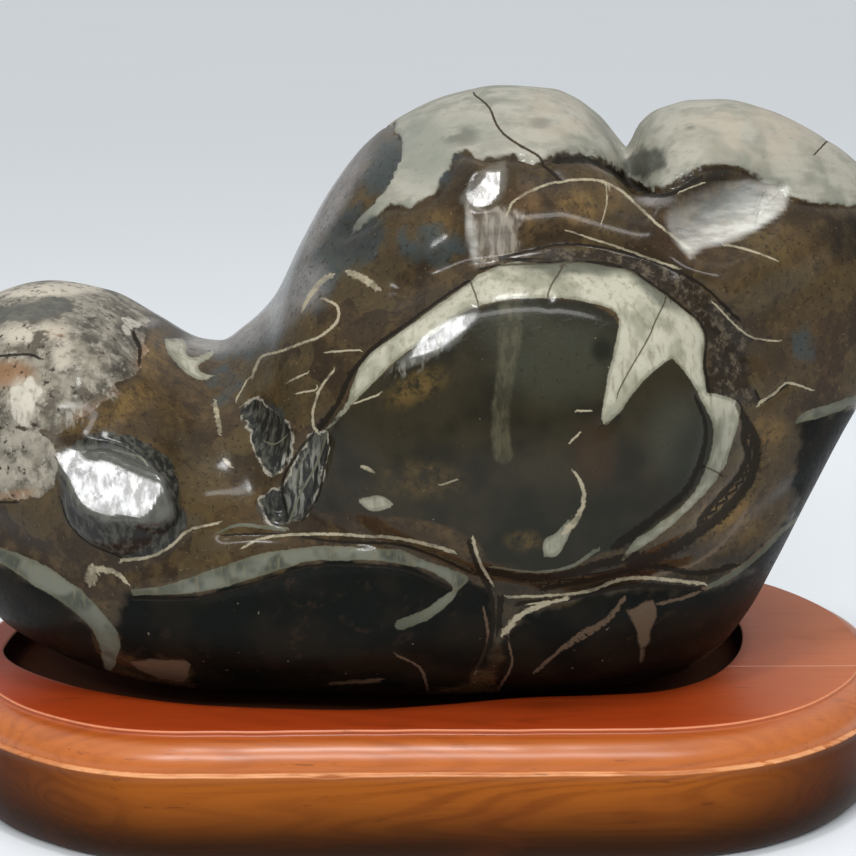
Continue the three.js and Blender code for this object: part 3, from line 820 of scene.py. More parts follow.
def line_fields(lines, px, py):
    """Side, in half widths and signed, and reach, in pixels from the edge, of the nearest tapering line."""
    side, reach = np.full(px.shape, LINE_LIMIT), np.full(px.shape, FAR)
    for points, first_half, last_half in lines:
        path = curved(points)
        chosen = near(path, px, py)
        x, y = px[chosen], py[chosen]
        best_side, best_reach = side[chosen], reach[chosen]
        halves = np.linspace(first_half, last_half, len(path))
        for (x0, y0), (x1, y1), half in zip(path, path[1:], halves):
            ex, ey = x1 - x0, y1 - y0
            length = np.hypot(ex, ey)
            s = np.clip(((x - x0) * ex + (y - y0) * ey) / length ** 2, 0, 1)
            distance = np.hypot(x - x0 - s * ex, y - y0 - s * ey)
            hand = np.where(ex * (y - y0) - ey * (x - x0) < 0, -1.0, 1.0)
            closer = distance - half < best_reach
            best_side = np.where(closer, np.clip(hand * distance / half, -LINE_LIMIT, LINE_LIMIT), best_side)
            best_reach = np.where(closer, distance - half, best_reach)
        side[chosen], reach[chosen] = best_side, best_reach
    return side, reach


def tint(patches, px, py):
    """How strongly the soft patches of one tint lie over each point."""
    amount = np.zeros(px.shape)
    for patch in patches:
        amount = np.maximum(amount, lift((*patch, TINT_FLAT), px, py))
    return amount


def dish_sheen(px, py):
    """The painted sheen of the polished dish, brightest along its lower right rim and gone outside it."""
    up = (px - DISH_RIM[0]) * DISH_UP[0] + (py - DISH_RIM[1]) * DISH_UP[1]
    return np.interp(up, *zip(*DISH_SHEEN)) * rise(0.5 - outline_distance([DISH], px, py) / DISH_EDGE)


def marking_fields(points, facing):
    """Every marking's field at the skin's points: the shown side's in front, the hidden side's behind."""
    px, py = photo_pixels(points)
    shown = rise((facing - HIDDEN_UP_TO) / (SHOWN_FROM - HIDDEN_UP_TO))
    fields = {}
    for name, (front, back) in OUTLINES.items():
        ahead, behind = outline_distance(front, px, py), outline_distance(back, px, py)
        fields[name] = shown * ahead + (1 - shown) * behind
    for name, (front, back) in TINTS.items():
        fields[name] = shown * tint(front, px, py) + (1 - shown) * tint(back, px, py)
    # The dish's painted sheen joins the gleam field.
    fields["gleam"] = np.maximum(fields["gleam"], shown * dish_sheen(px, py))
    for name, (front, back) in LINES.items():
        for part, a, b in zip(("side", "reach"), line_fields(front, px, py), line_fields(back, px, py)):
            fields[name + "_" + part] = shown * a + (1 - shown) * b
    return fields


def unit(v):
    return v / np.linalg.norm(v, axis=-1, keepdims=True)


def facing_eye(points, normals):
    """How squarely each point of the skin faces the photograph's eye, from 1 to -1."""
    return (normals * unit(EYE - points)).sum(axis=-1)


def polish_flats(points, facing):
    """Moves the points of each flat onto one plane, turned so that it mirrors its light."""
    px, py = photo_pixels(points)
    for outline, light, edge in FLATS:
        weight = rise(FLAT_REACH - outline_distance([outline], px, py) / edge) * (facing > FLAT_FACING)
        middle = (points * weight[..., None]).sum(axis=(0, 1)) / weight.sum()
        normal = unit(unit(np.array(light) / MM - middle) + unit(EYE - middle))
        gap = np.clip((middle - points) @ normal, -FLAT_MOST, FLAT_MOST)
        points = points + (weight * gap)[..., None] * normal
    return points


def beside(distance, depth, reach):
    """A depth that dies away beside a marking."""
    return depth * np.exp(-((np.maximum(distance, 0) / reach) ** 2))


def carving(fields):
    """How far cracks, pockets and the crust's edge are sunk below the polished skin, in millimetres."""
    crack = beside(fields["crack_reach"], *CRACK_CUT)
    crust_edge = beside(fields["cap"], *CRUST_CUT) * (fields["cap"] > 0)
    depth, reach = POCKET_CUT
    return crack + crust_edge + depth * rise(-fields["hollow"] / reach)


def build_stone():
    grid = stone_grid()
    rows, columns = grid.shape[:2]
    normals = vertex_normals(grid)
    grid = polish_flats(grid, facing_eye(grid, normals))
    normals = vertex_normals(grid)
    points = np.concatenate([grid.reshape(-1, 3), [LEFT_TIP], [RIGHT_TIP]])
    normals = np.concatenate([normals.reshape(-1, 3), [(-1, 0, 0)], [(1, 0, 0)]])
    fields = marking_fields(points, facing_eye(points, normals))
    points = points - normals * carving(fields)[:, None]
    stone = mesh_object("polished_stone", points, grid_faces(rows, columns))
    for name, values in fields.items():
        attribute = stone.data.attributes.new(name, "FLOAT", "POINT")
        attribute.data.foreach_set("value", values.astype(np.float32))
    stone.data.materials.append(stone_material())
    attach(stone, "root")
    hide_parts("fossil")


def stand_ring(inset, height, turns):
    """Points of the board's edge, drawn in by inset, seen at the given turns from the board's middle."""
    straight = STAND_HALF_LENGTH - STAND_HALF_WIDTH
    radius = STAND_HALF_WIDTH - inset
    a = np.linspace(0, 2 * pi, 4001)
    x, y = np.sign(np.cos(a)) * straight + radius * np.cos(a), radius * np.sin(a)
    return ring_at(x, y, height, turns)


def ring_at(x, y, height, turns):
    """The points of a closed outline that lie at the given turns from the middle."""
    at = np.unwrap(np.arctan2(y, x))
    order = np.argsort(at)
    at, x, y = at[order], x[order], y[order]
    at = np.concatenate([at - 2 * pi, at, at + 2 * pi])
    x, y = np.tile(x, 3), np.tile(y, 3)
    return np.stack([np.interp(turns, at, x), np.interp(turns, at, y), np.full(turns.shape, height)], axis=1)


def rim_ring(outward, height, turns):
    """Points of the recess's rim, moved outwards a little."""
    rim = curved(RECESS_RIM, closed=True, steps=24)
    ring = ring_at(rim[:, 0], rim[:, 1], height, turns)
    ring[:, :2] *= 1 + outward / np.hypot(ring[:, 0], ring[:, 1])[:, None]
    return ring


def quarter(steps):
    """Sines and cosines of turns from 0 to a right angle."""
    return [(sin(a), cos(a)) for a in np.radians(np.linspace(0, 90, steps))]


def edge_section():
    """The board's edge from the underside to the top: how far each point is drawn in, and its height."""
    round_in, round_up = LOWER_ROUND
    ovolo_in, ovolo_up = OVOLO
    step_in, step_up = STEP
    foot = STAND_HEIGHT - step_up - ovolo_up
    edge = LEDGE_RUN + ovolo_in + step_in
    section = [(round_in + 30, 0.0), (round_in + 1.5, 0.0)]
    section += [(round_in * (1 - s), round_up * (1 - c)) for s, c in quarter(13)]
    section += [(0.0, 17.0), (0.0, 22.0), (0.0, LEDGE_HEIGHT - 1.0)]
    section += [(0.12, LEDGE_HEIGHT - 0.3), (0.4, LEDGE_HEIGHT), (LEDGE_RUN - 0.15, LEDGE_HEIGHT + 0.1)]
    section += [(LEDGE_RUN + ovolo_in * (1 - c), foot + ovolo_up * s) for s, c in quarter(15)]
    section += [(edge - 0.1, STAND_HEIGHT - step_up + 0.3), (edge, STAND_HEIGHT - 0.4)]
    return section + [(edge + 0.12, STAND_HEIGHT - 0.1), (edge + 0.5, STAND_HEIGHT)]


def recess_section():
    """The recess from its rim to its floor: how far outwards each point lies, and its height."""
    floor = STAND_HEIGHT - RECESS_DEPTH
    return [
        (RIM_CHAMFER, STAND_HEIGHT), (0.12, STAND_HEIGHT - 0.15), (0.0, STAND_HEIGHT - 0.6),
        (0.0, STAND_HEIGHT - 4), (0.0, floor + 0.6), (-0.6, floor), (-20, floor),
    ]


def sand(ring, turns):
    """Takes a ring of the edge down a little, and in waves."""
    waves = sum(height * np.sin(count * turns + phase) for height, count, phase in WAVES)
    ring[:, :2] *= 1 - (SANDED + waves[:, None]) / np.hypot(ring[:, :1], ring[:, 1:2])


def chip(ring):
    """Sinks the chip in the ledge's front into a ring that runs along the ledge."""
    middle, half_length, depth = CHIP
    along = rise(1 - np.abs(ring[:, 0] - middle) / half_length)
    on_ledge = (ring[:, 1] < -70) * (np.abs(ring[:, 2] - LEDGE_HEIGHT) < 1.2)
    ring[:, 2] -= depth * along * on_ledge


def build_stand():
    """The stand's skin: rings from the underside up the edge, over the top, and down into the recess."""
    turns = np.linspace(-pi, pi, ROUND_STAND + 1)[:-1]
    rings = [stand_ring(inset, height, turns) for inset, height in edge_section()]
    for ring in rings[2:]:
        sand(ring, turns)
    outer = rings[-1]
    wall = [rim_ring(outward, height, turns) for outward, height in recess_section()]
    rings += [outer * (1 - share) + wall[0] * share for share in (0.25, 0.6, 0.9)]
    chamfer = len(rings) + 1
    rings += wall
    for ring in rings:
        chip(ring)
    floor = STAND_HEIGHT - RECESS_DEPTH
    points = np.concatenate([np.concatenate(rings), [(0, 0, 0), (0, 0, floor)]])
    stand = mesh_object("varnished_stand", points, grid_faces(len(rings), ROUND_STAND))
    ring_number = np.repeat(np.arange(len(rings)), ROUND_STAND)
    # The recess field marks the recess's walls and floor, which the wood's material darkens as painted
    # shade.
    recess = np.concatenate([ring_number > chamfer, [False, True]]).astype(np.float32)
    stand.data.attributes.new("recess", "FLOAT", "POINT").data.foreach_set("value", recess)
    stand.data.materials.append(wood_material())
    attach(stand, "root")
    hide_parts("stand")


# Materials
def paint(r, g, b):
    """A colour as a picture shows it, from 0 to 255, for a shader."""
    shares = [c / 255 for c in (r, g, b)]
    return (*(((s + 0.055) / 1.055) ** 2.4 if s > 0.04 else s / 12.92 for s in shares), 1.0)


class Recipe:
    """One procedural material, built by short calls that add nodes and join them."""

    def __init__(self, name):
        self.material = bpy.data.materials.new(name)
        self.material.use_nodes = True
        self.tree = self.material.node_tree
        self.shader = self.tree.nodes["Principled BSDF"]
        self.place = self.tree.nodes.new("ShaderNodeTexCoord").outputs["Object"]
        self.fields = {}

    def feed(self, socket, value):
        if isinstance(value, bpy.types.NodeSocket):
            self.tree.links.new(value, socket)
        else:
            socket.default_value = value

    def field(self, name):
        """The values that the mesh keeps under a name at its points."""
        if name not in self.fields:
            node = self.tree.nodes.new("ShaderNodeAttribute")
            node.attribute_name = name
            self.fields[name] = node.outputs["Fac"]
        return self.fields[name]

    def math(self, operation, *values):
        node = self.tree.nodes.new("ShaderNodeMath")
        node.operation = operation
        for socket, value in zip(node.inputs, values):
            self.feed(socket, value)
        return node.outputs[0]

    def both(self, a, b):
        return self.math("MULTIPLY", a, b)

    def either(self, a, b):
        return self.math("MAXIMUM", a, b)

    def plus(self, value, amount, times=1.0):
        """A value with an amount added to it, so many times."""
        return self.math("MULTIPLY_ADD", amount, times, value)

    def step(self, value, low, high, at_low=0.0, at_high=1.0):
        """A smooth step of a value from low to high."""
        node = self.tree.nodes.new("ShaderNodeMapRange")
        node.interpolation_type = "SMOOTHSTEP"
        for socket, number in zip(node.inputs, (value, low, high, at_low, at_high)):
            self.feed(socket, number)
        return node.outputs[0]

    def stretched(self, x, y, z):
        """The place, scaled along each axis: under 1 draws a noise out along it."""
        node = self.tree.nodes.new("ShaderNodeMapping")
        self.feed(node.inputs["Vector"], self.place)
        node.inputs["Scale"].default_value = (x, y, z)
        return node.outputs[0]

    def noise(self, size, detail=2.0, roughness=0.55, place=None):
        """Noise whose lumps are about size millimetres across."""
        node = self.tree.nodes.new("ShaderNodeTexNoise")
        self.feed(node.inputs["Vector"], place or self.place)
        node.inputs["Scale"].default_value = 1 / (size * MM)
        node.inputs["Detail"].default_value = detail
        node.inputs["Roughness"].default_value = roughness
        return node.outputs["Fac"]

    def mix(self, share, a, b):
        node = self.tree.nodes.new("ShaderNodeMix")
        node.data_type = "RGBA"
        for index, value in ((0, share), (6, a), (7, b)):
            self.feed(node.inputs[index], value)
        return node.outputs[2]

    def tones(self, noise, low, high, dark, light):
        """Two paints: the first where a noise is under low, and the second where it is over high."""
        return self.mix(self.step(noise, low, high), paint(*dark), paint(*light))

    def lay(self, colour, mask, rgb, strength=1.0):
        """A colour with a paint laid over it where a mask is 1, as thickly as its strength."""
        share = mask if strength == 1.0 else self.both(mask, strength)
        return self.mix(share, colour, paint(*rgb))

    def bump(self, height, depth, strength, over=None):
        """A normal from a height between 0 and 1 that stands for depth millimetres."""
        node = self.tree.nodes.new("ShaderNodeBump")
        node.inputs["Strength"].default_value = strength
        node.inputs["Distance"].default_value = depth * MM
        self.feed(node.inputs["Height"], height)
        if over:
            self.feed(node.inputs["Normal"], over)
        return node.outputs[0]


class StoneRecipe(Recipe):
    """The stone's own calls: its noises, and masks made from the markings' fields, with frayed edges."""

    def __init__(self, name):
        super().__init__(name)
        self.grain = self.noise(1.2, 2, 0.75)
        self.flecks = self.noise(1.6, 2, 0.75)
        self.specks = self.noise(1.7, 1, 0.8)
        self.wrinkles = self.noise(2.5, 3, 0.7)
        self.clots = self.noise(3.4, 3, 0.7)
        self.mottle = self.noise(5, 3, 0.65)
        self.stains = self.noise(9)
        self.clouds = self.noise(14)
        self.striped = self.noise(1.6, 2, 0.6, self.stretched(1, 1, 0.25))
        self.streaked = self.noise(2.4, 2, 0.6, self.stretched(1, 1, 0.3))
        self.smeared = self.noise(3.5, 3, 0.65, self.stretched(0.3, 0.6, 1))
        self.ragged = self.math("SUBTRACT", self.flecks, 0.5)
        self.uneven = self.math("SUBTRACT", self.noise(6, 1, 0.6), 0.5)
        self.warped = self.bent_place(9, 12)

    def bent_place(self, size, reach):
        """The place, pushed about by up to reach millimetres, so that straight edges wander."""
        push = self.tree.nodes.new("ShaderNodeVectorMath")
        push.operation = "MULTIPLY_ADD"
        self.feed(push.inputs[0], self.noise(size, 1, 0.5).node.outputs["Color"])
        push.inputs[1].default_value = (reach * MM,) * 3
        self.feed(push.inputs[2], self.place)
        return push.outputs[0]

    def plates(self, size):
        """A value for each of the plates, about size millimetres across, that the matrix is broken into."""
        node = self.tree.nodes.new("ShaderNodeTexVoronoi")
        self.feed(node.inputs["Vector"], self.warped)
        node.inputs["Scale"].default_value = 1 / (size * MM)
        return node.outputs["Color"]

    def core(self, name):
        """1 deep inside a marking, and 0 at its edge."""
        return self.step(self.plus(self.field(name), self.ragged, 5.0), -0.5, -5.0)

    def inside(self, name, ragged=3.0, uneven=0.0, soft=0.7):
        """1 inside a marking's outline, with its edge moved by two noises and softened, all in pixels."""
        edge = self.plus(self.plus(self.field(name), self.ragged, ragged), self.uneven, uneven)
        return self.step(edge, soft, -soft)

    def line(self, name, ragged=1.6, soft=0.35):
        """1 along a marking's lines, with their sides moved by noise and softened, in half widths."""
        wander = self.plus(self.field(name + "_side"), self.ragged, ragged)
        across = self.step(self.math("ABSOLUTE", wander), 1 + soft, 1 - soft)
        return self.both(across, self.step(self.field(name + "_reach"), 3.4, 2.4))


def matrix_colour(m):
    """The brown body of the stone: clouds, plates of differing tone, ochre, and dark and light grains."""
    colour = m.tones(m.noise(28, 2, 0.5), 0.36, 0.64, (44, 34, 22), (62, 50, 32))
    plates = m.plates(15)
    colour = m.lay(colour, m.step(plates, 0.55, 0.7), (84, 72, 46), 0.3)
    colour = m.lay(colour, m.step(plates, 0.42, 0.3), (40, 30, 20), 0.4)
    colour = m.lay(colour, m.step(m.mottle, 0.46, 0.68), (84, 68, 42), 0.45)
    ochre = m.both(m.field("ochre"), m.step(m.clots, 0.34, 0.6, 0.25, 1.0))
    colour = m.lay(colour, ochre, (108, 85, 49), 0.8)
    colour = m.lay(colour, m.field("rust"), (84, 58, 37), 0.55)
    frayed = m.step(m.plus(m.field("slate"), m.uneven, 2.0), 0.1, 1.0)
    slate = m.both(frayed, m.step(m.field("slate"), 0, 0.2, 0.0, 0.85))
    colour = m.lay(colour, slate, (52, 60, 60))
    # Mist in the matrix: pale grey, partly a painted highlight along the dome's left edge.
    mist = m.both(m.field("mist"), m.step(m.mottle, 0.3, 0.6, 0.6, 0.9))
    colour = m.lay(colour, mist, (126, 122, 119))
    # Dusk: dark patches, partly painted shade in hollows.
    dusk = m.both(m.field("dusk"), m.step(m.mottle, 0.3, 0.6, 1.0, 0.6))
    colour = m.lay(colour, dusk, (28, 25, 19))
    colour = m.lay(colour, m.step(m.flecks, 0.55, 0.67), (32, 25, 18), 0.6)
    return m.lay(colour, m.step(m.grain, 0.66, 0.74), (150, 130, 94), 0.2)


def chamber_colour(m):
    """Dark glassy filling of the shell's chambers, brown at the foot and grey-green higher up."""
    colour = m.tones(m.clouds, 0.35, 0.65, (28, 26, 17), (43, 38, 25))
    colour = m.lay(colour, m.field("glass"), (52, 52, 41))
    colour = m.lay(colour, m.field("rust"), (56, 40, 24), 0.7)
    colour = m.lay(colour, m.both(m.field("ochre"), m.step(m.clots, 0.34, 0.62)), (92, 74, 40))
    colour = m.lay(colour, m.field("dusk"), (17, 20, 12), 0.9)
    colour = m.lay(colour, m.step(m.flecks, 0.58, 0.7), (34, 29, 20), 0.5)
    # Painted reflection: a pale streak laid down the chamber.
    reflection_streak = m.both(m.inside("reflection_streak", 4, 6, 2.4), m.step(m.striped, 0.4, 0.65, 0.15, 0.42))
    colour = m.lay(colour, reflection_streak, (94, 90, 70))
    return m.lay(colour, m.step(m.specks, 0.78, 0.82), (140, 130, 104), 0.6)


def under_colour(m):
    """The nearly black green and brown of the lowest chambers."""
    colour = m.tones(m.clouds, 0.4, 0.65, (7, 10, 7), (20, 17, 11))
    colour = m.lay(colour, m.step(m.mottle, 0.58, 0.7), (40, 29, 19), 0.5)
    return m.lay(colour, m.step(m.specks, 0.77, 0.81), (110, 104, 84), 0.6)


def cap_colour(m):
    """The pale crust on the tops of the domes, smeared along and stained."""
    stain = m.noise(11, 2, 0.62, m.warped)
    colour = m.tones(stain, 0.42, 0.66, (150, 147, 134), (125, 125, 112))
    colour = m.lay(colour, m.step(m.smeared, 0.45, 0.68), (112, 111, 98), 0.5)
    colour = m.lay(colour, m.both(m.field("rust"), m.step(m.stains, 0.35, 0.6)), (158, 148, 132))
    colour = m.lay(colour, m.field("slate"), (118, 121, 110), 0.75)
    colour = m.lay(colour, m.both(m.field("dusk"), m.step(m.smeared, 0.36, 0.5)), (78, 78, 70))
    return m.lay(colour, m.step(m.grain, 0.64, 0.72), (84, 76, 62), 0.35)


def lobe_colour(m):
    """The mottled grey crystal mass of the low end, with chalky, ochre and dark parts."""
    clumps = m.noise(6.5, 3, 0.7)
    colour = m.tones(clumps, 0.36, 0.64, (80, 74, 64), (132, 126, 112))
    colour = m.lay(colour, m.field("ochre"), (130, 96, 66), 0.8)
    colour = m.lay(colour, m.both(m.field("mist"), m.step(clumps, 0.32, 0.5)), (176, 168, 152))
    colour = m.lay(colour, m.both(m.field("dusk"), m.step(clumps, 0.3, 0.6, 1.0, 0.5)), (46, 41, 35))
    colour = m.lay(colour, m.step(m.clots, 0.54, 0.66), (160, 154, 140), 0.5)
    return m.lay(colour, m.step(m.wrinkles, 0.57, 0.69), (50, 43, 36))


def calcite_colour(m, name, pale, stain):
    """Calcite of the shell wall: stained clouds, streaks down it, darker edges, and dusky parts."""
    colour = m.tones(m.stains, 0.42, 0.62, pale, stain)
    colour = m.lay(colour, m.step(m.striped, 0.48, 0.7), (108, 102, 82), 0.5)
    colour = m.lay(colour, m.step(m.core(name), 0, 1, 0.5, 0.0), (88, 86, 68))
    colour = m.lay(colour, m.field("dusk"), (66, 68, 56), 0.85)
    return m.lay(colour, m.step(m.grain, 0.64, 0.72), (92, 86, 70), 0.4)


def body_colour(m, masks):
    """The matrix, with the chambers, broken and crystalline parts, the low lobe and the crust over it."""
    colour = m.mix(masks["chamber"], matrix_colour(m), chamber_colour(m))
    colour = m.mix(masks["under"], colour, under_colour(m))
    colour = m.lay(colour, masks["faint"], (98, 80, 64), 0.65)
    rubble = m.tones(m.wrinkles, 0.46, 0.68, (32, 26, 20), (86, 77, 63))
    colour = m.mix(m.both(masks["patch"], 0.8), colour, rubble)
    # The crystal column: pale streaked tones, partly a painted reflection.
    column = m.tones(m.striped, 0.4, 0.62, (84, 73, 60), (150, 141, 126))
    colour = m.mix(m.both(masks["column"], 0.6), colour, column)
    crystal = m.tones(m.striped, 0.42, 0.68, (30, 30, 27), (68, 67, 59))
    colour = m.mix(m.either(masks["hollow"], masks["eye"]), colour, crystal)
    colour = m.lay(colour, masks["rim"], (146, 140, 126))
    colour = m.mix(masks["lobe"], colour, lobe_colour(m))
    colour = m.lay(colour, masks["stripe"], (72, 72, 66), 0.8)
    chalk = m.tones(m.striped, 0.45, 0.7, (184, 178, 164), (134, 126, 110))
    colour = m.mix(m.both(masks["pale"], 0.8), colour, chalk)
    colour = m.mix(masks["cap"], colour, cap_colour(m))
    # Painted shade: the hollow between the domes laid over with dark grey.
    dent = m.tones(m.smeared, 0.45, 0.7, (44, 46, 41), (80, 82, 74))
    return m.mix(m.both(masks["dent"], 0.85), colour, dent)


def stone_colour(m, masks):
    """Cracks, calcite, veins and painted sheen laid over the body in turn."""
    # Sparkle: pale crystal flecks, at the arch's left also a painted highlight.
    colour = m.lay(body_colour(m, masks), masks["sparkle"], (160, 158, 148), 0.8)
    colour = m.lay(colour, masks["crack"], (24, 20, 15), 0.9)
    colour = m.mix(masks["grey"], colour, calcite_colour(m, "grey_calcite", (98, 99, 88), (62, 65, 56)))
    colour = m.mix(masks["cream"], colour, calcite_colour(m, "calcite", (166, 163, 145), (134, 133, 115)))
    vein = m.both(masks["vein"], m.step(m.mottle, 0.34, 0.56, 0.4, 0.95))
    colour = m.lay(colour, vein, (150, 141, 118))
    # Painted sheen: pale colour laid where the gleam field lies, the dish's sheen among it.
    sheen = m.both(m.field("gleam"), m.step(m.smeared, 0.36, 0.62, 0.6, 1.0))
    colour = m.lay(colour, sheen, (206, 204, 195), 0.8)
    # Painted highlight: pale grey laid on the polished flats, under the light they mirror.
    colour = m.lay(colour, masks["facet"], (112, 111, 104), 0.35)
    crack_over_pale = m.both(masks["crack"], m.either(masks["cream"], masks["cap"]))
    return m.lay(colour, crack_over_pale, (62, 52, 38), 0.8)


def frayed_rim(m):
    """Broken pale threads along the edges of the crystal pockets."""
    wander = m.plus(m.plus(m.field("hollow"), m.ragged, 5.0), m.uneven, 16.0)
    along = m.step(m.math("ABSOLUTE", wander), 1.8, 0.6)
    return m.both(m.both(along, m.step(m.mottle, 0.4, 0.55)), 0.8)


def stone_masks(m):
    """Where each kind of marking lies, from 0 to 1."""
    return {
        "patch": m.inside("patch", 4, 14, 2.0),
        "chamber": m.inside("chamber", 3, 10, 2.0),
        "under": m.inside("under", 7, 22, 4.0),
        "hollow": m.inside("hollow", 5, 14, 1.8),
        "eye": m.inside("eye", 14, 10, 2.0),
        "lobe": m.inside("lobe", 5, 16),
        "cap": m.inside("cap", 2.6, 12, 1.4),
        "facet": m.inside("facet", 6, 10, 3.0),
        "column": m.inside("column", 8, 22, 3.5),
        "rim": frayed_rim(m),
        "faint": m.either(m.line("faint_vein", 3.0, 0.6), m.inside("tan", 4, 8, 1.5)),
        "pale": m.inside("pale", 9, 26, 1.5),
        "dent": m.inside("dent", 5, 16, 4.0),
        "stripe": m.inside("stripe", 4, 10, 1.5),
        "cream": m.inside("calcite", 2.4, 3),
        "grey": m.either(m.inside("grey_calcite", 3, 4), m.line("grey_vein")),
        "crack": m.line("crack", 1.8),
        "vein": m.line("vein", 2.2),
        "sparkle": m.both(m.field("sparkle"), m.step(m.striped, 0.5, 0.62)),
    }


def stone_polish(m, masks):
    """Roughness, and the strength of the clear coat that stands for the polish."""
    dull = m.either(masks["crack"], masks["under"])
    rough = m.step(m.grain, 0.3, 0.75, 0.14, 0.3)
    rough = m.plus(rough, masks["lobe"], 0.22)
    rough = m.plus(rough, masks["cap"], 0.2)
    rough = m.plus(rough, dull, 0.25)
    rough = m.plus(rough, m.both(masks["facet"], m.step(m.streaked, 0.45, 0.7)), 0.22)
    m.feed(m.shader.inputs["Roughness"], rough)
    broken = m.both(m.step(m.streaked, 0.34, 0.62, 1.0, 0.3), m.step(m.clots, 0.56, 0.66, 1.0, 0.25))
    gloss = m.either(m.both(masks["facet"], broken), m.both(m.field("sparkle"), 0.6))
    gloss = m.either(gloss, m.both(m.field("gleam"), 0.4))
    gloss = m.both(m.math("SUBTRACT", 1.0, dull), m.step(gloss, 0, 1, 0.2, 0.6))
    m.feed(m.shader.inputs["Coat Weight"], gloss)
    m.shader.inputs["Coat Roughness"].default_value = 0.1
    m.shader.inputs["Specular IOR Level"].default_value = 0.08


def stone_relief(m, masks):
    """Pits in the lobe and the rubble, cracks, fine grain and gentle waves, as a normal."""
    rugged = m.either(m.step(m.field("lobe"), 0, -4, 0.1, 0.45), m.step(m.field("patch"), 0, -4, 0.1, 0.8))
    pits = m.both(m.step(m.wrinkles, 0.5, 0.68), rugged)
    low = m.either(m.both(masks["crack"], 0.8), pits)
    dents = m.bump(m.math("SUBTRACT", 1.0, low), 0.35, 0.6)
    fine = m.bump(m.grain, 0.04, 0.5, dents)
    m.feed(m.shader.inputs["Normal"], m.bump(m.stains, 0.35, 0.5, fine))


def stone_material():
    m = StoneRecipe("polished_fossil_stone")
    masks = stone_masks(m)
    m.feed(m.shader.inputs["Base Color"], stone_colour(m, masks))
    stone_polish(m, masks)
    stone_relief(m, masks)
    return m.material


def board_colour(m, grain, along, up):
    """The wood's colour: the side, with painted shade that darkens its ends and foot, the ovolo, and the
    top, whose right end a painted reflection makes paler.
    """
    side = m.mix(grain, paint(146, 79, 23), paint(108, 52, 14))
    # Painted shade: the side darkened towards both rounded ends.
    side = m.lay(side, m.step(m.math("ABSOLUTE", along), 60, 120), (56, 23, 8), 0.9)
    # Painted shade: the side darkened towards the foot.
    side = m.lay(side, m.step(up, 24, 6), (32, 16, 4), 0.95)
    ovolo = m.mix(grain, paint(174, 93, 34), paint(148, 74, 25))
    top = m.mix(grain, paint(148, 53, 17), paint(128, 43, 12))
    # Painted reflection: the top's right end laid over with a paler pinkish brown.
    top = m.lay(top, m.step(along, 60, 130), (180, 100, 58))
    moulding = m.mix(m.step(up, STAND_HEIGHT - 3, STAND_HEIGHT + 0.2), ovolo, top)
    return m.mix(m.step(up, LEDGE_HEIGHT - 0.8, LEDGE_HEIGHT + 0.2), side, moulding)


def thin_line(m, coordinate, at):
    """1 on a thin line where a coordinate in millimetres has one value, and 0 beside it."""
    return m.step(m.math("ABSOLUTE", m.math("SUBTRACT", coordinate, at)), 0.6, 0.2)


def edge_highlights_and_joint_colour(m, colour, flecks, smudge, along, back, up):
    """Painted highlights along the ledge and along the step's edge, broken up by noise, and the board's
    glued joint on the top.
    """
    # Painted highlight: a pale line along the ledge.
    ledge_highlight = m.both(thin_line(m, up, LEDGE_HEIGHT), m.step(flecks, 0.3, 0.5))
    ledge_highlight = m.both(ledge_highlight, m.step(smudge, 0.42, 0.56, 0.9, 0.35))
    colour = m.lay(colour, ledge_highlight, (214, 152, 102))
    # Painted highlight: a pale line along the step's edge.
    above = m.step(up, STAND_HEIGHT - 0.7, STAND_HEIGHT - 0.4)
    step_edge_highlight = m.both(above, m.step(up, STAND_HEIGHT - 0.02, STAND_HEIGHT - 0.2))
    colour = m.lay(colour, step_edge_highlight, (224, 150, 108), 0.7)
    on_top = m.step(up, STAND_HEIGHT - 0.5, STAND_HEIGHT - 0.1)
    joint = m.both(m.both(thin_line(m, back, JOINT_Y), on_top), m.step(along, 78, 86, 0.0, 0.5))
    return m.lay(colour, joint, (214, 150, 120))


def wood_material():
    """Red-brown varnish over wood whose figure runs along the board, bare inside the recess and darkened
    there as painted shade.
    """
    m = Recipe("varnished_red_wood")
    split = m.tree.nodes.new("ShaderNodeSeparateXYZ")
    m.feed(split.inputs[0], m.place)
    along, back, up = (m.both(coordinate, 1 / MM) for coordinate in split.outputs)
    figure = m.noise(26, 2, 0.4, m.stretched(0.12, 1, 1))
    rings = m.math("SINE", m.both(figure, 150.0))
    smudge = m.noise(20, 4, 0.6, m.stretched(0.5, 1, 1))
    fibre = m.noise(1.0, 4, 0.7, m.stretched(0.03, 1, 1))
    flecks = m.noise(1.6, 3, 0.6, m.stretched(0.14, 1, 1))
    grain = m.both(m.step(rings, -0.4, 1.0), m.step(smudge, 0.35, 0.65, 0.1, 0.45))
    colour = board_colour(m, grain, along, up)
    colour = edge_highlights_and_joint_colour(m, colour, flecks, smudge, along, back, up)
    colour = m.lay(colour, m.step(fibre, 0.5, 0.72), (96, 42, 16), 0.25)
    colour = m.lay(colour, m.step(flecks, 0.64, 0.72), (66, 32, 14), 0.4)
    colour = m.lay(colour, m.step(smudge, 0.54, 0.72), (88, 40, 16), 0.3)
    recess = m.field("recess")
    # Painted shade: the recess's walls and floor laid over with deep brown.
    colour = m.lay(colour, recess, (70, 38, 24))
    m.feed(m.shader.inputs["Base Color"], colour)
    m.feed(m.shader.inputs["Roughness"], m.plus(m.step(smudge, 0.35, 0.7, 0.32, 0.46), recess, 0.4))
    varnish = m.both(m.step(up, 24, 29, 0.02, 1.0), m.step(up, 34.5, 35.8, 1.0, 0.4))
    m.feed(m.shader.inputs["Coat Weight"], m.both(varnish, m.math("SUBTRACT", 1.0, recess)))
    m.shader.inputs["Coat Roughness"].default_value = 0.3
    m.shader.inputs["Specular IOR Level"].default_value = 0.05
    m.feed(m.shader.inputs["Normal"], m.bump(fibre, 0.06, 0.5, m.bump(smudge, 0.25, 0.35)))
    return m.material


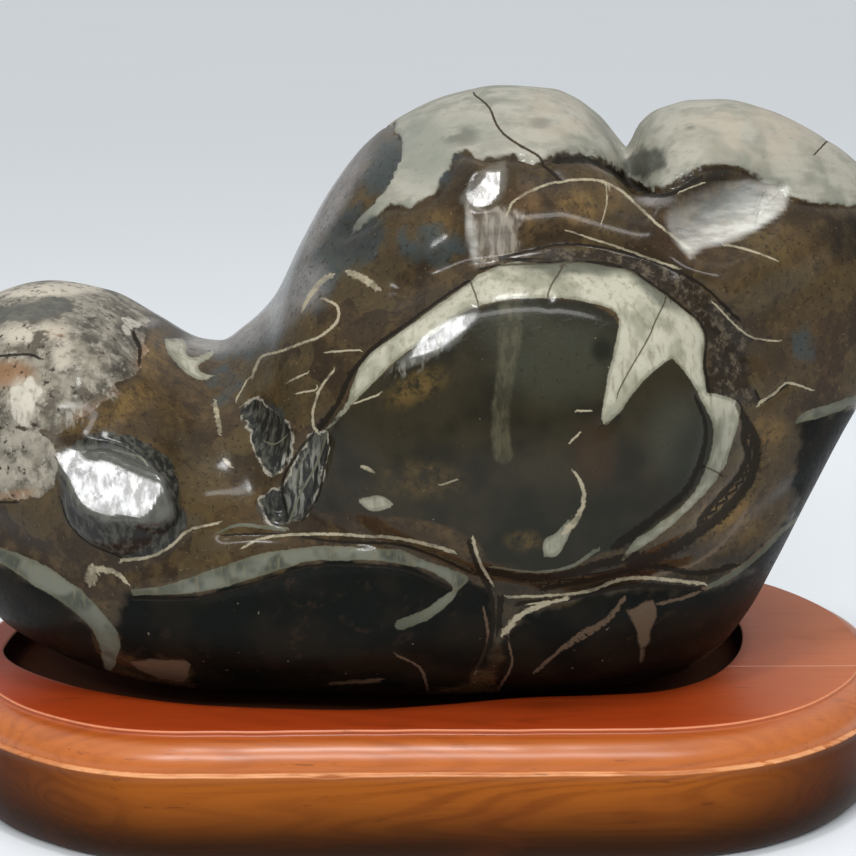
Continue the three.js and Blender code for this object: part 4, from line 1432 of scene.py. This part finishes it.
def area_light(name, place, aim, size, power, colour=(1, 1, 1)):
    data = bpy.data.lights.new(name, "AREA")
    data.shape = "RECTANGLE"
    data.size, data.size_y = size
    data.energy = power
    data.color = colour
    light = bpy.data.objects.new(name, data)
    light.location = Vector(place)
    light.rotation_euler = (Vector(aim) - Vector(place)).to_track_quat("-Z", "Y").to_euler()
    bpy.context.collection.objects.link(light)


def add_floor():
    """A pale floor that reaches the horizon."""
    reach = 60.0
    corners = [(-reach, -reach, 0), (reach, -reach, 0), (reach, reach, 0), (-reach, reach, 0)]
    mesh = bpy.data.meshes.new("floor")
    mesh.from_pydata(corners, [], [(0, 1, 2, 3)])
    floor = bpy.data.objects.new("floor", mesh)
    bpy.context.collection.objects.link(floor)
    m = Recipe("pale_floor")
    pale = m.mix(m.noise(600, 1), paint(222, 226, 229), paint(226, 229, 232))
    m.feed(m.shader.inputs["Base Color"], pale)
    m.shader.inputs["Roughness"].default_value = 0.85
    mesh.materials.append(m.material)


def add_world():
    """Even studio light, brightest overhead and dim towards the horizon."""
    world = bpy.data.worlds.new("studio")
    bpy.context.scene.world = world
    world.use_nodes = True
    nodes, links = world.node_tree.nodes, world.node_tree.links
    height = nodes.new("ShaderNodeSeparateXYZ")
    links.new(nodes.new("ShaderNodeTexCoord").outputs["Generated"], height.inputs[0])
    strength = nodes.new("ShaderNodeMapRange")
    strength.interpolation_type = "SMOOTHSTEP"
    for socket, value in zip(list(strength.inputs)[1:5], (-0.1, 0.95, 0.3, 1.0)):
        socket.default_value = value
    links.new(height.outputs["Z"], strength.inputs[0])
    background = nodes["Background"]
    background.inputs["Color"].default_value = (0.96, 0.98, 1.0, 1)
    links.new(strength.outputs[0], background.inputs["Strength"])


def add_lights():
    area_light("panel", PANEL_PLACE, (0, 0, 0.1), (0.8, 0.3), 0.6)
    area_light("strip", (0.0, -0.87, 0.79), (0, -0.07, 0.03), (0.9, 0.16), 5.5)
    area_light("lamp", LAMP_PLACE, (0, 0, 0.16), (0.15, 0.14), 2.8)
    area_light("window", WINDOW_PLACE, (0, 0, 0.12), (0.13, 0.11), 1.3, (0.97, 0.99, 1))


add_camera()
build_stone()
build_stand()
add_floor()
add_world()
add_lights()
bpy.context.scene.view_settings.view_transform = "Standard"
